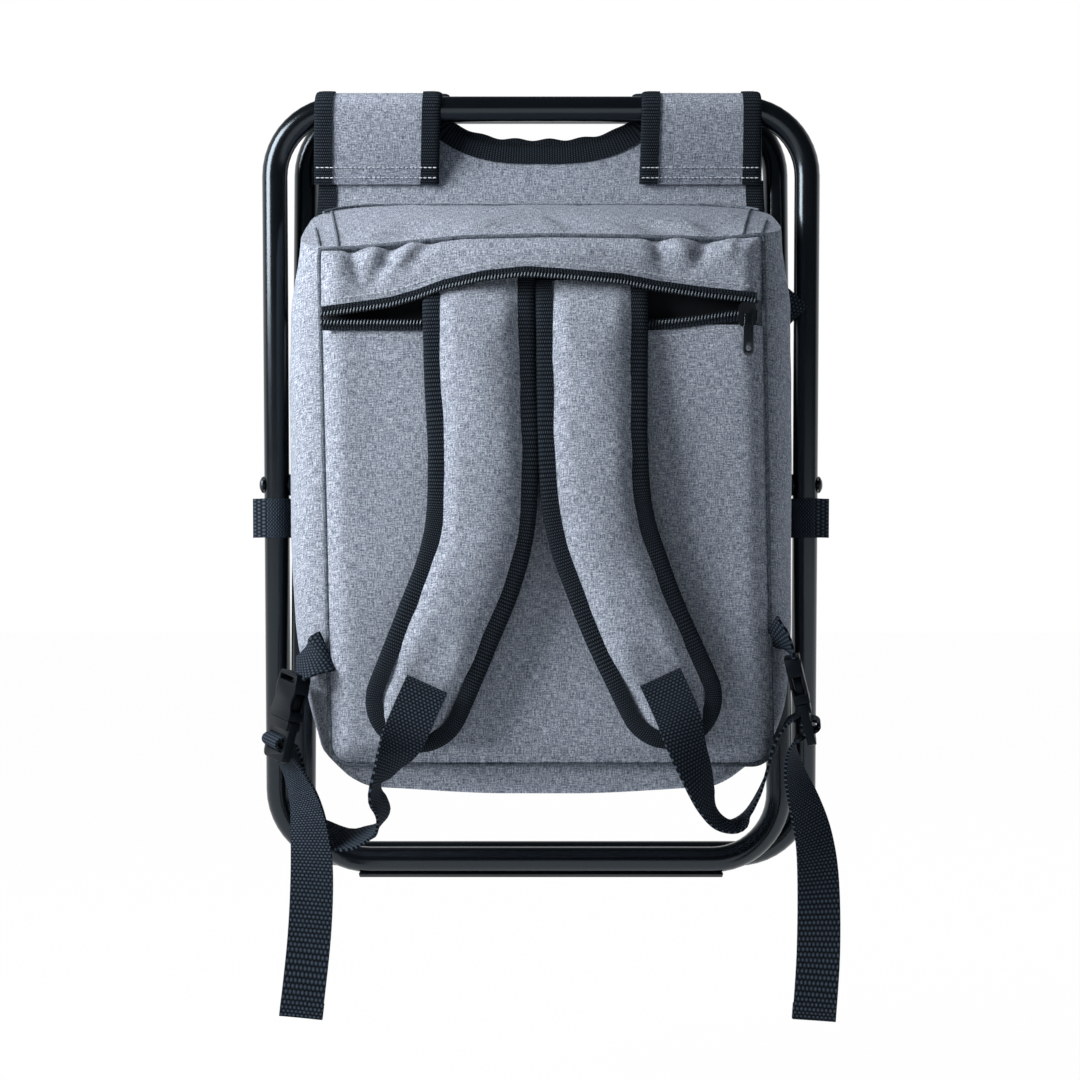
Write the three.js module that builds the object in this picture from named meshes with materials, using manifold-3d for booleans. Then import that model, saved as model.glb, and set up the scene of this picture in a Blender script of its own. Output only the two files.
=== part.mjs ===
// A folding X-frame stool with a soft cooler bag slung under its seat, folded flat for carrying.
// Millimetres, +Z up. The origin is the middle of the carrying grip, between the two folded seat bars.
// The viewer stands at -Y and sees the bag and its shoulder straps; +X is to the viewer's right.
import * as THREE from 'three';
import Module from 'manifold-3d';
import { mergeVertices } from 'three/addons/utils/BufferGeometryUtils.js';

const wasm = await Module();
wasm.setup();

// Driving dimensions of the frame
const TUBE_D = 16;
const OUTER_WIDTH = 354;
const SIDE_GAP = 2;
const BEND_R = 42.5;
const PIVOT_TO_BAR = 238;
const PIVOT_TO_FOOT = 238;
const INNER_RISE = 4;
const BAR_SPACING = 22;
const OPENING_DEG = 56;
const RIVET_D = 6;
const RIVET_CLEAR = 0.1;
const RIVET_HEAD_D = 11;
const RIVET_HEAD_H = 2.4;
const FOOT_LENGTH = 230;
const FOOT_WALL = 2.2;
const FOOT_SOLE = 9;
const CLEAR = 0.3;

// Driving dimensions of the sling seat
const SEAT_SIDE_GAP = 2;
const SEAT_REAR_GAP = 8;
const SEAT_DROP = 133;
const CLOTH = 1.6;
const CLOTH_GAP = 1;
const TAB_INNER = 62;
const TAB_BEND_REACH = 1;
const TAB_CLEAR = 0.5;
const TAB_DROP = 47;
const REAR_TAB_DROP = 45;
const TAB_CLOTH = 1.8;
const SCOOP_DEPTH = 22;
const REAR_SCOOP_DEPTH = 22;

// Driving dimensions of the cooler bag
const BAG_WIDTH = 300;
const BAG_TOP_DROP = 60;
const BAG_HEIGHT = 366;
const BAG_FRONT = 109;
const BAG_BACK_TOP = 3;
const BAG_BACK_SLANT = 17;
const BAG_TOP_SLOPE = 38;
const BAG_FRONT_R = 26;
const BAG_BACK_R = 40;
const BAG_TUCK = 18;
const SHELL_WALL = 1.5;
const FOAM_WALL = 7;
const LINER_WALL = 1.2;
const LID_WIDTH = 232;
const LID_HEIGHT = 245;
const LID_TOP_DROP = 152;
const LID_GAP = 0.4;
const ZIP_TAPE = 9;
const ZIP_THICK = 1.2;

// Driving dimensions of the strap pocket and the shoulder straps
const PANEL_DEPTH = 9;
const PANEL_WALL = 2.2;
const PANEL_TOP_WIDTH = 256;
const PANEL_BOTTOM_WIDTH = 242;
const PANEL_TOP_DROP = 40;
const PANEL_BOTTOM_RISE = 24;
const PANEL_RIM = 5;
const MOUTH_DROP = 47;
const MOUTH_RISE = 26;
const PAD_WIDTH = 62;
const PAD_THICK = 9;
const PAD_LIFT = 6;
const WEBBING = 25;
const WEBBING_THICK = 1.5;
const BUCKLE_WIDTH = 28;
const BUCKLE_THICK = 9;
const SOCKET_LENGTH = 27;
const PLUG_LENGTH = 24;
const PRONG_LENGTH = 18;
const KEEPER_THICK = 1.2;
const KEEPER_TAIL = 7;
const KEEPER_DROP = 259;

// Values that follow from the driving dimensions
const tubeR = TUBE_D / 2;
const outerX = OUTER_WIDTH / 2 - tubeR;
const innerX = outerX - TUBE_D - SIDE_GAP;
const foldedAngle = Math.asin(BAR_SPACING / 2 / PIVOT_TO_BAR);
const pivotZ = -PIVOT_TO_BAR * Math.cos(foldedAngle);
const opening = THREE.MathUtils.degToRad(OPENING_DEG);
const soleAngle = foldedAngle + opening / 2;
const innerBar = PIVOT_TO_BAR + INNER_RISE;
const rearBarY = innerBar * Math.sin(foldedAngle);
const rearBarZ = pivotZ + innerBar * Math.cos(foldedAngle);
const creaseZ = -SEAT_DROP;
const bagTop = -BAG_TOP_DROP;
const bagBottom = bagTop - BAG_HEIGHT;
const backTilt = Math.atan2(BAG_BACK_SLANT, BAG_HEIGHT);
const panelTop = bagTop - PANEL_TOP_DROP;
const panelBottom = bagBottom + PANEL_BOTTOM_RISE;
const panelRun = panelTop - panelBottom;
const mouthBottom = panelTop - MOUTH_DROP;
const panelFace = -BAG_FRONT - CLEAR - PANEL_DEPTH;
const padBack = panelFace - PAD_LIFT;
const padFront = padBack - PAD_THICK;

const looks = {
  tube: { color: 0x17181a, roughness: 0.35, metalness: 0.6 },
  steel: { color: 0x2a2b2d, roughness: 0.3, metalness: 0.9 },
  nylon: { color: 0x111111, roughness: 0.6, metalness: 0 },
  cloth: { color: 0x5d6573, roughness: 0.95, metalness: 0 },
  binding: { color: 0x141416, roughness: 0.9, metalness: 0 },
  foam: { color: 0xe8e8e6, roughness: 0.9, metalness: 0 },
  foil: { color: 0xc6c9cc, roughness: 0.3, metalness: 0.9 },
  zip: { color: 0x121213, roughness: 0.7, metalness: 0 },
};

const part = new THREE.Group();
const add = (group, name, geometry, look) => {
  const mesh = new THREE.Mesh(geometry, new THREE.MeshStandardMaterial(looks[look]));
  mesh.name = name;
  group.add(mesh);
  return mesh;
};

// Joining and cutting closed geometries
const solidOf = (geometry) => {
  const bare = new THREE.BufferGeometry();
  bare.setAttribute('position', geometry.getAttribute('position'));
  if (geometry.index) bare.setIndex(geometry.index);
  const merged = mergeVertices(bare, 1e-4);
  const vertProperties = Float32Array.from(merged.getAttribute('position').array);
  const triVerts = Uint32Array.from(merged.index.array);
  return new wasm.Manifold(new wasm.Mesh({ numProp: 3, vertProperties, triVerts }));
};
const geometryOf = (solid) => {
  const mesh = solid.getMesh();
  const geometry = new THREE.BufferGeometry();
  geometry.setAttribute('position', new THREE.BufferAttribute(Float32Array.from(mesh.vertProperties), 3));
  geometry.setIndex(new THREE.BufferAttribute(Uint32Array.from(mesh.triVerts), 1));
  return geometry;
};
const cut = (geometry, ...tools) => {
  const start = solidOf(geometry);
  return geometryOf(tools.reduce((solid, tool) => solid.subtract(solidOf(tool)), start));
};
const join = (geometry, ...others) => {
  const start = solidOf(geometry);
  return geometryOf(others.reduce((solid, other) => solid.add(solidOf(other)), start));
};

// Turns a closed skin right side out, by the sign of the volume it encloses
const outward = (points, faces) => {
  let volume = 0;
  for (let i = 0; i < faces.length; i += 3) {
    const [a, b, c] = [points[faces[i]], points[faces[i + 1]], points[faces[i + 2]]];
    volume += a.dot(new THREE.Vector3().crossVectors(b, c));
  }
  return volume < 0 ? faces.reverse() : faces;
};

// A closed skin over rings of points, with flat ends unless the rings close on themselves
const loft = (rings, closed = false, crossed = -1) => {
  const count = rings[0].length;
  const points = rings.flat();
  const faces = [];
  const bands = closed ? rings.length : rings.length - 1;
  for (let band = 0; band < bands; band += 1) {
    const here = band * count;
    const next = ((band + 1) % rings.length) * count;
    for (let i = 0; i < count; i += 1) {
      const j = (i + 1) % count;
      if (i === crossed) faces.push(here + i, next + i, here + j, here + j, next + i, next + j);
      else faces.push(here + i, next + i, next + j, here + i, next + j, here + j);
    }
  }
  if (!closed) {
    const last = (rings.length - 1) * count;
    for (let i = 1; i < count - 1; i += 1) {
      faces.push(0, i, i + 1);
      faces.push(last, last + i + 1, last + i);
    }
  }
  const geometry = new THREE.BufferGeometry().setFromPoints(points);
  geometry.setIndex(outward(points, faces));
  return geometry;
};

const box = (x0, x1, y0, y1, z0, z1) => {
  const geometry = new THREE.BoxGeometry(x1 - x0, y1 - y0, z1 - z0);
  return geometry.translate((x0 + x1) / 2, (y0 + y1) / 2, (z0 + z1) / 2);
};

// A flat outline drawn in X and Z, thickened from y0 to y1
const plateXZ = (shape, y0, y1, curveSegments = 8) => {
  const geometry = new THREE.ExtrudeGeometry(shape, { depth: y1 - y0, bevelEnabled: false, curveSegments });
  return geometry.rotateX(Math.PI / 2).translate(0, y1, 0);
};

// A flat outline drawn in Y and Z, thickened from x0 to x1
const plateYZ = (shape, x0, x1, curveSegments = 8) => {
  const geometry = new THREE.ExtrudeGeometry(shape, { depth: x1 - x0, bevelEnabled: false, curveSegments });
  return geometry.rotateX(Math.PI / 2).rotateZ(Math.PI / 2).translate(x0, 0, 0);
};

// A round bar along X, turned from a profile of [distance along X, radius] pairs
const turnedAlongX = (profile, segments = 24) => {
  const points = profile.map(([along, radius]) => new THREE.Vector2(radius, along));
  return new THREE.LatheGeometry(points, segments).rotateZ(-Math.PI / 2);
};

const roundedRect = (width, bottom, top, radius) => {
  const half = width / 2;
  const shape = new THREE.Shape();
  shape.moveTo(-half + radius, bottom);
  shape.lineTo(half - radius, bottom);
  shape.absarc(half - radius, bottom + radius, radius, -Math.PI / 2, 0, false);
  shape.lineTo(half, top - radius);
  shape.absarc(half - radius, top - radius, radius, 0, Math.PI / 2, false);
  shape.lineTo(-half + radius, top);
  shape.absarc(-half + radius, top - radius, radius, Math.PI / 2, Math.PI, false);
  shape.lineTo(-half, bottom + radius);
  shape.absarc(-half + radius, bottom + radius, radius, Math.PI, Math.PI * 1.5, false);
  return shape;
};

// Bent tube loops
const tubeSides = 16;
const bendSteps = 6;
const tubeLoop = (halfWidth, up, down) => {
  const stations = [];
  const corners = [
    [halfWidth - BEND_R, up - BEND_R, 0],
    [-halfWidth + BEND_R, up - BEND_R, 1],
    [-halfWidth + BEND_R, -down + BEND_R, 2],
    [halfWidth - BEND_R, -down + BEND_R, 3],
  ];
  corners.forEach(([x, z, quarter]) => {
    for (let step = 0; step <= bendSteps; step += 1) {
      const angle = (quarter + step / bendSteps) * Math.PI / 2;
      stations.push({ x, z, angle });
    }
  });
  const rings = stations.map(({ x, z, angle }) => {
    const ring = [];
    for (let side = 0; side < tubeSides; side += 1) {
      const turn = (side + 0.5) * 2 * Math.PI / tubeSides;
      const reach = BEND_R + tubeR * Math.cos(turn);
      const across = tubeR * Math.sin(turn);
      ring.push(new THREE.Vector3(x + reach * Math.cos(angle), across, z + reach * Math.sin(angle)));
    }
    return ring;
  });
  return loft(rings, true);
};
const pivotHole = (halfWidth) => {
  const hole = new THREE.CylinderGeometry(RIVET_D / 2 + RIVET_CLEAR, RIVET_D / 2 + RIVET_CLEAR, TUBE_D * 2, 24);
  return hole.rotateZ(Math.PI / 2).translate(halfWidth, 0, 0);
};

// A moulded foot strip under a bottom bar, with its flat sole turned to meet the floor when the stool is open
const footStrip = (side) => {
  const bore = tubeR + CLEAR;
  const wrap = THREE.MathUtils.degToRad(52);
  const rim = bore + FOOT_WALL * 0.6;
  const shape = new THREE.Shape();
  shape.moveTo(rim * Math.sin(-wrap), -rim * Math.cos(wrap));
  shape.lineTo(-FOOT_SOLE / 2, -bore - FOOT_WALL);
  shape.lineTo(FOOT_SOLE / 2, -bore - FOOT_WALL);
  shape.lineTo(rim * Math.sin(wrap), -rim * Math.cos(wrap));
  shape.absarc(0, 0, bore, -Math.PI / 2 + wrap, -Math.PI / 2 - wrap, true);
  const strip = plateYZ(shape, -FOOT_LENGTH / 2, FOOT_LENGTH / 2, 10);
  return strip.rotateX(side * soleAngle).translate(0, 0, -PIVOT_TO_FOOT);
};

const outerGroup = new THREE.Group();
outerGroup.position.z = pivotZ;
outerGroup.rotation.x = foldedAngle;
const innerGroup = new THREE.Group();
innerGroup.position.z = pivotZ;
innerGroup.rotation.x = -foldedAngle;
part.add(outerGroup, innerGroup);

const outerTube = tubeLoop(outerX, PIVOT_TO_BAR, PIVOT_TO_FOOT);
const innerTube = tubeLoop(innerX, innerBar, PIVOT_TO_FOOT);
add(outerGroup, 'outer_frame', cut(outerTube, pivotHole(outerX), pivotHole(-outerX)), 'tube');
add(innerGroup, 'inner_frame', cut(innerTube, pivotHole(innerX), pivotHole(-innerX)), 'tube');
add(outerGroup, 'rear_foot_strip', footStrip(-1), 'nylon');
add(innerGroup, 'front_foot_strip', footStrip(1), 'nylon');

// Pivot rivets and the spacer washers between the two loops
const rivetR = RIVET_D / 2;
const headR = RIVET_HEAD_D / 2;
const rivetInner = innerX - tubeR - CLEAR;
const rivetOuter = outerX + tubeR + CLEAR;
const rivetProfile = [
  [rivetInner - RIVET_HEAD_H, 0],
  [rivetInner - RIVET_HEAD_H, headR * 0.7],
  [rivetInner - RIVET_HEAD_H * 0.5, headR],
  [rivetInner, headR],
  [rivetInner, rivetR],
  [rivetOuter, rivetR],
  [rivetOuter, headR],
  [rivetOuter + RIVET_HEAD_H * 0.5, headR * 0.9],
  [rivetOuter + RIVET_HEAD_H, headR * 0.5],
  [rivetOuter + RIVET_HEAD_H, 0],
];
const washerProfile = [
  [innerX + tubeR + CLEAR, rivetR + CLEAR],
  [innerX + tubeR + CLEAR, tubeR - 1],
  [outerX - tubeR - CLEAR, tubeR - 1],
  [outerX - tubeR - CLEAR, rivetR + CLEAR],
  [innerX + tubeR + CLEAR, rivetR + CLEAR],
];
for (const [name, turn] of [['right', 0], ['left', Math.PI]]) {
  add(outerGroup, `pivot_rivet_${name}`, turnedAlongX(rivetProfile).rotateZ(turn), 'steel');
  add(outerGroup, `pivot_washer_${name}`, turnedAlongX(washerProfile).rotateZ(turn), 'nylon');
}

// Hook-and-loop keepers: webbing folded round each outer tube, with its flat end standing out
const keeperIn = tubeR + CLEAR;
const keeperOut = keeperIn + KEEPER_THICK;
const keeperReach = tubeR + KEEPER_TAIL;
const keeperShape = () => {
  const shape = new THREE.Shape();
  shape.absarc(0, 0, keeperOut, Math.PI / 3, Math.PI * 5 / 3, false);
  shape.lineTo(keeperReach, -KEEPER_THICK - CLEAR / 2);
  shape.lineTo(keeperReach, KEEPER_THICK + CLEAR / 2);
  const hollow = new THREE.Path();
  hollow.absarc(0, 0, keeperIn, -Math.PI / 3, Math.PI / 3, true);
  hollow.lineTo(keeperReach - 2 * KEEPER_THICK, CLEAR / 2);
  hollow.lineTo(keeperReach - 2 * KEEPER_THICK, -CLEAR / 2);
  shape.holes.push(hollow);
  return shape;
};
const keeperZ = -KEEPER_DROP - pivotZ;
for (const [name, turn] of [['right', 0], ['left', Math.PI]]) {
  const loop = new THREE.ExtrudeGeometry(keeperShape(), { depth: WEBBING, bevelEnabled: false, curveSegments: 14 });
  loop.translate(0, 0, -WEBBING / 2).translate(outerX, 0, 0).rotateZ(turn).translate(0, 0, keeperZ);
  add(outerGroup, `keeper_loop_${name}`, loop, 'binding');
}

// Sling seat: two cloth halves that hang between the bars, held to each bar by a pair of stitched tabs
const seatHalf = innerX - tubeR - SEAT_SIDE_GAP;
const rearHalf = innerX - tubeR - SEAT_REAR_GAP;
const tabInner = TAB_INNER;
const frontTabOuter = outerX - BEND_R + TAB_BEND_REACH;
const rearTabOuter = innerX - BEND_R + TAB_BEND_REACH;
const scooped = (half, top, bottom, scoop) => {
  const shape = new THREE.Shape();
  const lip = tubeR + CLEAR;
  shape.moveTo(-half, bottom);
  shape.lineTo(half, bottom);
  shape.lineTo(half, top);
  shape.lineTo(tabInner, top);
  shape.bezierCurveTo(tabInner - lip, top - scoop, tabInner * 0.6, top - scoop, 0, top - scoop);
  shape.bezierCurveTo(-tabInner * 0.6, top - scoop, -tabInner + lip, top - scoop, -tabInner, top);
  shape.lineTo(-half, top);
  return shape;
};
const sheetNear = CLOTH_GAP / 2;
const sheetFar = sheetNear + CLOTH;
const tabSeat = -BAR_SPACING / 2;
const frontSheet = scooped(seatHalf, -CLEAR, creaseZ + CLEAR / 2, SCOOP_DEPTH);
add(part, 'seat_front_half', plateXZ(frontSheet, -sheetFar, -sheetNear), 'cloth');
const rearSplit = rearBarZ - TAB_DROP;
const rearSheet = new THREE.Shape();
rearSheet.moveTo(-rearHalf, creaseZ + CLEAR / 2);
rearSheet.lineTo(rearHalf, creaseZ + CLEAR / 2);
rearSheet.lineTo(rearHalf, rearSplit - CLEAR);
rearSheet.lineTo(-rearHalf, rearSplit - CLEAR);
add(part, 'seat_rear_half', plateXZ(rearSheet, sheetNear, sheetFar), 'cloth');
const rearEnd = scooped(rearHalf, rearBarZ - CLEAR, rearSplit, REAR_SCOOP_DEPTH);
add(part, 'seat_rear_end', plateXZ(rearEnd, sheetNear, sheetFar), 'cloth');

// A tab band in Y and Z about its bar: up from the sheet, over the bar and down its outer face to the stitching
const tabIn = tubeR + TAB_CLEAR;
const tabOut = tabIn + TAB_CLOTH;
const tabShape = (barY, drop) => {
  const foot = new THREE.Vector2(Math.abs(barY) - sheetFar - CLEAR, -drop + TAB_CLOTH);
  const leave = Math.atan2(foot.y, foot.x) - Math.acos(tabIn / foot.length()) + 2 * Math.PI;
  const shape = new THREE.Shape();
  shape.absarc(0, 0, tabOut, 0, leave, false);
  shape.lineTo(foot.x + TAB_CLOTH * Math.cos(leave), foot.y + TAB_CLOTH * Math.sin(leave));
  shape.lineTo(foot.x, foot.y);
  shape.absarc(0, 0, tabIn, leave, 0, true);
  return shape;
};
for (const [name, side] of [['left', -1], ['right', 1]]) {
  const front = plateYZ(tabShape(tabSeat, TAB_DROP), tabInner, frontTabOuter, 12);
  front.translate(side < 0 ? -tabInner - frontTabOuter : 0, tabSeat, 0);
  add(part, `front_tab_${name}`, front, 'cloth');
  const rear = plateYZ(tabShape(rearBarY, REAR_TAB_DROP), tabInner, rearTabOuter, 12).rotateZ(Math.PI);
  rear.translate(side < 0 ? 0 : tabInner + rearTabOuter, rearBarY, rearBarZ);
  add(part, `rear_tab_${name}`, rear, 'cloth');
}

// Cooler bag: one form, laid in three layers from the outside in
const arcSteps = 5;
const bagRing = (share, offset) => {
  const shoulder = Math.min(1, 0.93 + share * 0.45);
  const waist = 1 - 0.14 * Math.max(0, (share - 0.6) / 0.4) ** 2;
  const tuck = share < 0.9 ? 0 : BAG_TUCK * ((share - 0.9) / 0.1) ** 2;
  const half = BAG_WIDTH / 2 * Math.min(shoulder, waist) - offset - tuck;
  const front = -BAG_FRONT + offset + tuck;
  const back = -BAG_BACK_TOP - BAG_BACK_SLANT * share - offset - tuck * 0.2;
  const frontR = BAG_FRONT_R - offset;
  const backR = BAG_BACK_R - offset;
  const corners = [
    [half - backR, back - backR, backR, 0],
    [-half + backR, back - backR, backR, 1],
    [-half + frontR, front + frontR, frontR, 2],
    [half - frontR, front + frontR, frontR, 3],
  ];
  const ring = [];
  corners.forEach(([x, y, radius, quarter]) => {
    for (let step = 0; step <= arcSteps; step += 1) {
      const angle = (quarter + step / arcSteps) * Math.PI / 2;
      const py = y + radius * Math.sin(angle);
      const slope = BAG_TOP_SLOPE * (-BAG_BACK_TOP - py) / (BAG_FRONT - BAG_BACK_TOP);
      const top = bagTop - slope - offset;
      const bottom = bagBottom + offset;
      ring.push(new THREE.Vector3(x + radius * Math.cos(angle), py, top + (bottom - top) * share));
    }
  });
  return ring;
};
const bagShares = [0, 0.05, 0.15, 0.35, 0.6, 0.75, 0.86, 0.93, 0.97, 1];
const bagForm = (offset) => loft(bagShares.map((share) => bagRing(share, offset)));

// The lid's frame: its origin on the back face at the lid's lower edge, leaning with the back of the bag
const lidBottom = -LID_TOP_DROP - LID_HEIGHT;
const hingeShare = (bagTop - lidBottom) / BAG_HEIGHT;
const hingeY = -BAG_BACK_TOP - BAG_BACK_SLANT * hingeShare;
const lidGroup = new THREE.Group();
lidGroup.position.set(0, hingeY, lidBottom);
lidGroup.rotation.x = -backTilt;
part.add(lidGroup);
const wallDepth = SHELL_WALL + FOAM_WALL + LINER_WALL + 2 * CLEAR;
const lidCorner = 24;
const doorway = () => {
  const tool = plateXZ(roundedRect(LID_WIDTH, 0, LID_HEIGHT, lidCorner), -wallDepth * 2, wallDepth);
  return tool.rotateX(-backTilt).translate(0, hingeY, lidBottom);
};
let depth = 0;
for (const [name, wall, look] of [
  ['bag_shell', SHELL_WALL, 'cloth'],
  ['bag_insulation', FOAM_WALL, 'foam'],
  ['bag_liner', LINER_WALL, 'foil'],
]) {
  add(part, name, cut(bagForm(depth), bagForm(depth + wall), doorway()), look);
  depth += wall + CLEAR;
}
const lidInside = roundedRect(LID_WIDTH - 2 * LID_GAP, LID_GAP, LID_HEIGHT - LID_GAP, lidCorner - LID_GAP);
add(lidGroup, 'cooler_lid', plateXZ(lidInside, -wallDepth, -CLEAR / 2), 'cloth');
const tapeLow = 30;
const tapeOutline = roundedRect(LID_WIDTH + 2 * ZIP_TAPE, tapeLow, LID_HEIGHT + ZIP_TAPE, lidCorner + ZIP_TAPE);
const tapeHole = roundedRect(LID_WIDTH, tapeLow - 2 * lidCorner, LID_HEIGHT, lidCorner);
const tape = plateXZ(tapeOutline, CLEAR, CLEAR + ZIP_THICK);
const tapeFoot = box(-LID_WIDTH, LID_WIDTH, -ZIP_TAPE, ZIP_TAPE, 0, tapeLow + lidCorner + ZIP_TAPE);
add(lidGroup, 'lid_zip', cut(tape, plateXZ(tapeHole, -ZIP_TAPE, ZIP_TAPE), tapeFoot), 'zip');

// A zip slider with its bridge, and the puller that hangs from it, drawn about the middle of the slider's back
const SLIDER_WIDTH = 10;
const SLIDER_HEIGHT = 14;
const SLIDER_THICK = 3;
const PULLER_LENGTH = 24;
const PULLER_WIDTH = 6;
const PULLER_THICK = 1.6;
const sliderBody = () => {
  const body = plateXZ(roundedRect(SLIDER_WIDTH, -SLIDER_HEIGHT / 2, SLIDER_HEIGHT / 2, 3), -SLIDER_THICK, 0);
  const bridge = box(-1.2, 1.2, -SLIDER_THICK - 2.4, -SLIDER_THICK / 2, -4, 4);
  const eye = box(-3, 3, -SLIDER_THICK - 1.2, -SLIDER_THICK - CLEAR, -3, 3);
  return cut(join(body, bridge), eye);
};
const pullerBack = -SLIDER_THICK - 2.4 - CLEAR;
const pullerBody = () => {
  const shape = roundedRect(PULLER_WIDTH, -PULLER_LENGTH, 0, 2.4);
  return plateXZ(shape, pullerBack - PULLER_THICK, pullerBack);
};
const lidSlider = new THREE.Group();
lidSlider.rotation.z = Math.PI;
lidSlider.position.set(-(LID_WIDTH + ZIP_TAPE) / 2, 2 * CLEAR + ZIP_THICK, LID_HEIGHT - lidCorner - SLIDER_HEIGHT);
lidGroup.add(lidSlider);
add(lidSlider, 'lid_slider', sliderBody(), 'steel');
add(lidSlider, 'lid_puller', pullerBody(), 'steel');

// Strap pocket: a shallow fabric tray on the bag's front, with the open zip mouth that the straps come out of
const panelShape = (inset, top) => {
  const half = PANEL_TOP_WIDTH / 2 - inset;
  const foot = PANEL_BOTTOM_WIDTH / 2 - inset;
  const corner = 20 - inset;
  const low = panelBottom + inset;
  const shape = new THREE.Shape();
  shape.moveTo(-foot + corner, low);
  shape.lineTo(foot - corner, low);
  shape.quadraticCurveTo(foot, low, foot, low + corner);
  shape.lineTo(half, top - corner / 2);
  shape.quadraticCurveTo(half, top, half - corner / 2, top);
  shape.lineTo(-half + corner / 2, top);
  shape.quadraticCurveTo(-half, top, -half, top - corner / 2);
  shape.lineTo(-foot, low + corner);
  shape.quadraticCurveTo(-foot, low, -foot + corner, low);
  return shape;
};
const mouthHalf = PANEL_TOP_WIDTH / 2 - PANEL_RIM;
const mouthShape = (grow) => {
  const shape = new THREE.Shape();
  shape.moveTo(-mouthHalf, mouthBottom - grow);
  shape.lineTo(mouthHalf, mouthBottom - grow);
  shape.lineTo(mouthHalf, mouthBottom + 6 + grow);
  shape.bezierCurveTo(
    mouthHalf * 0.6, mouthBottom + MOUTH_RISE * 0.6 + grow,
    mouthHalf * 0.4, mouthBottom + MOUTH_RISE + grow,
    0, mouthBottom + MOUTH_RISE + grow,
  );
  shape.bezierCurveTo(
    -mouthHalf * 0.4, mouthBottom + MOUTH_RISE + grow,
    -mouthHalf * 0.6, mouthBottom + MOUTH_RISE * 0.6 + grow,
    -mouthHalf, mouthBottom + 6 + grow,
  );
  return shape;
};
const panelBack = -BAG_FRONT - CLEAR;
const pocketRoom = plateXZ(panelShape(PANEL_RIM, panelTop - PANEL_RIM), panelFace + PANEL_WALL, panelBack + 1);
const panelBlock = plateXZ(panelShape(0, panelTop), panelFace, panelBack);
const mouth = plateXZ(mouthShape(0), panelFace - 1, panelBack + 1, 10);
add(part, 'strap_pocket_panel', cut(panelBlock, pocketRoom, mouth), 'cloth');
const zipTapeWidth = 4;
const zipRing = plateXZ(mouthShape(zipTapeWidth), panelFace - CLEAR - ZIP_THICK, panelFace - CLEAR, 10);
const mouthCut = plateXZ(mouthShape(0), panelFace - PANEL_DEPTH, panelBack + 1, 10);
const midMouth = mouthBottom + 3;
const below = box(-BAG_WIDTH, BAG_WIDTH, panelFace - 9, panelFace + 9, panelBottom, midMouth);
const above = box(-BAG_WIDTH, BAG_WIDTH, panelFace - 9, panelFace + 9, midMouth, 0);
add(part, 'pocket_zip_upper', cut(zipRing, mouthCut, below), 'zip');
add(part, 'pocket_zip_lower', cut(zipRing, mouthCut, above), 'zip');
const pocketSlider = new THREE.Group();
pocketSlider.position.set(mouthHalf - SLIDER_WIDTH / 2, panelFace - 2 * CLEAR - ZIP_THICK, midMouth);
part.add(pocketSlider);
add(pocketSlider, 'pocket_slider', sliderBody(), 'steel');
add(pocketSlider, 'pocket_puller', pullerBody(), 'steel');

// Shoulder straps: padded bands that leave the pocket mouth and curve outwards to a round end
const padPoint = (across, down) => new THREE.Vector3(across * PAD_WIDTH, 0, panelTop - down * panelRun);
const padOutline = (side) => {
  const middle = new THREE.CatmullRomCurve3([
    padPoint(side * 0.532, 0.0927),
    padPoint(side * 0.516, 0.3146),
    padPoint(side * 0.548, 0.4967),
    padPoint(side * 0.774, 0.6788),
    padPoint(side * 1.097, 0.8411),
  ]);
  const left = [];
  const right = [];
  const steps = 14;
  for (let step = 0; step <= steps; step += 1) {
    const along = step / steps;
    const at = middle.getPointAt(along);
    const way = middle.getTangentAt(along);
    const half = PAD_WIDTH / 2 * (1 - 0.08 * along);
    left.push(new THREE.Vector2(at.x + way.z * half, at.z - way.x * half));
    right.push(new THREE.Vector2(at.x - way.z * half, at.z + way.x * half));
  }
  const tip = middle.getPointAt(1);
  const way = middle.getTangentAt(1);
  const half = PAD_WIDTH / 2 * 0.92;
  const round = [];
  for (let step = 1; step < 8; step += 1) {
    const turn = step / 8 * Math.PI;
    const across = Math.cos(turn) * half;
    const ahead = Math.sin(turn) * half * 1.15;
    round.push(new THREE.Vector2(
      tip.x + way.z * across + way.x * ahead,
      tip.z - way.x * across + way.z * ahead,
    ));
  }
  return new THREE.Shape([...left, ...round, ...right.reverse()]);
};
const padCrown = 2.5;
const padSolid = (side) => {
  const shape = padOutline(side);
  const slab = new THREE.ExtrudeGeometry(shape, {
    depth: PAD_THICK - 2 * padCrown,
    bevelEnabled: true,
    bevelThickness: padCrown,
    bevelSize: padCrown,
    bevelOffset: -padCrown,
    bevelSegments: 2,
  });
  slab.rotateX(Math.PI / 2).translate(0, padBack - padCrown, 0);
  const neckHalf = PAD_WIDTH * 0.4;
  const neckTop = mouthBottom + MOUTH_RISE - 6;
  const neckX = side * PAD_WIDTH * 0.532;
  const neck = box(neckX - neckHalf, neckX + neckHalf, padBack - padCrown * 2, panelBack - CLEAR, neckTop - 8, neckTop);
  return join(slab, neck);
};
for (const [name, side] of [['left', -1], ['right', 1]]) {
  add(part, `shoulder_pad_${name}`, padSolid(side), 'cloth');
}

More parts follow.
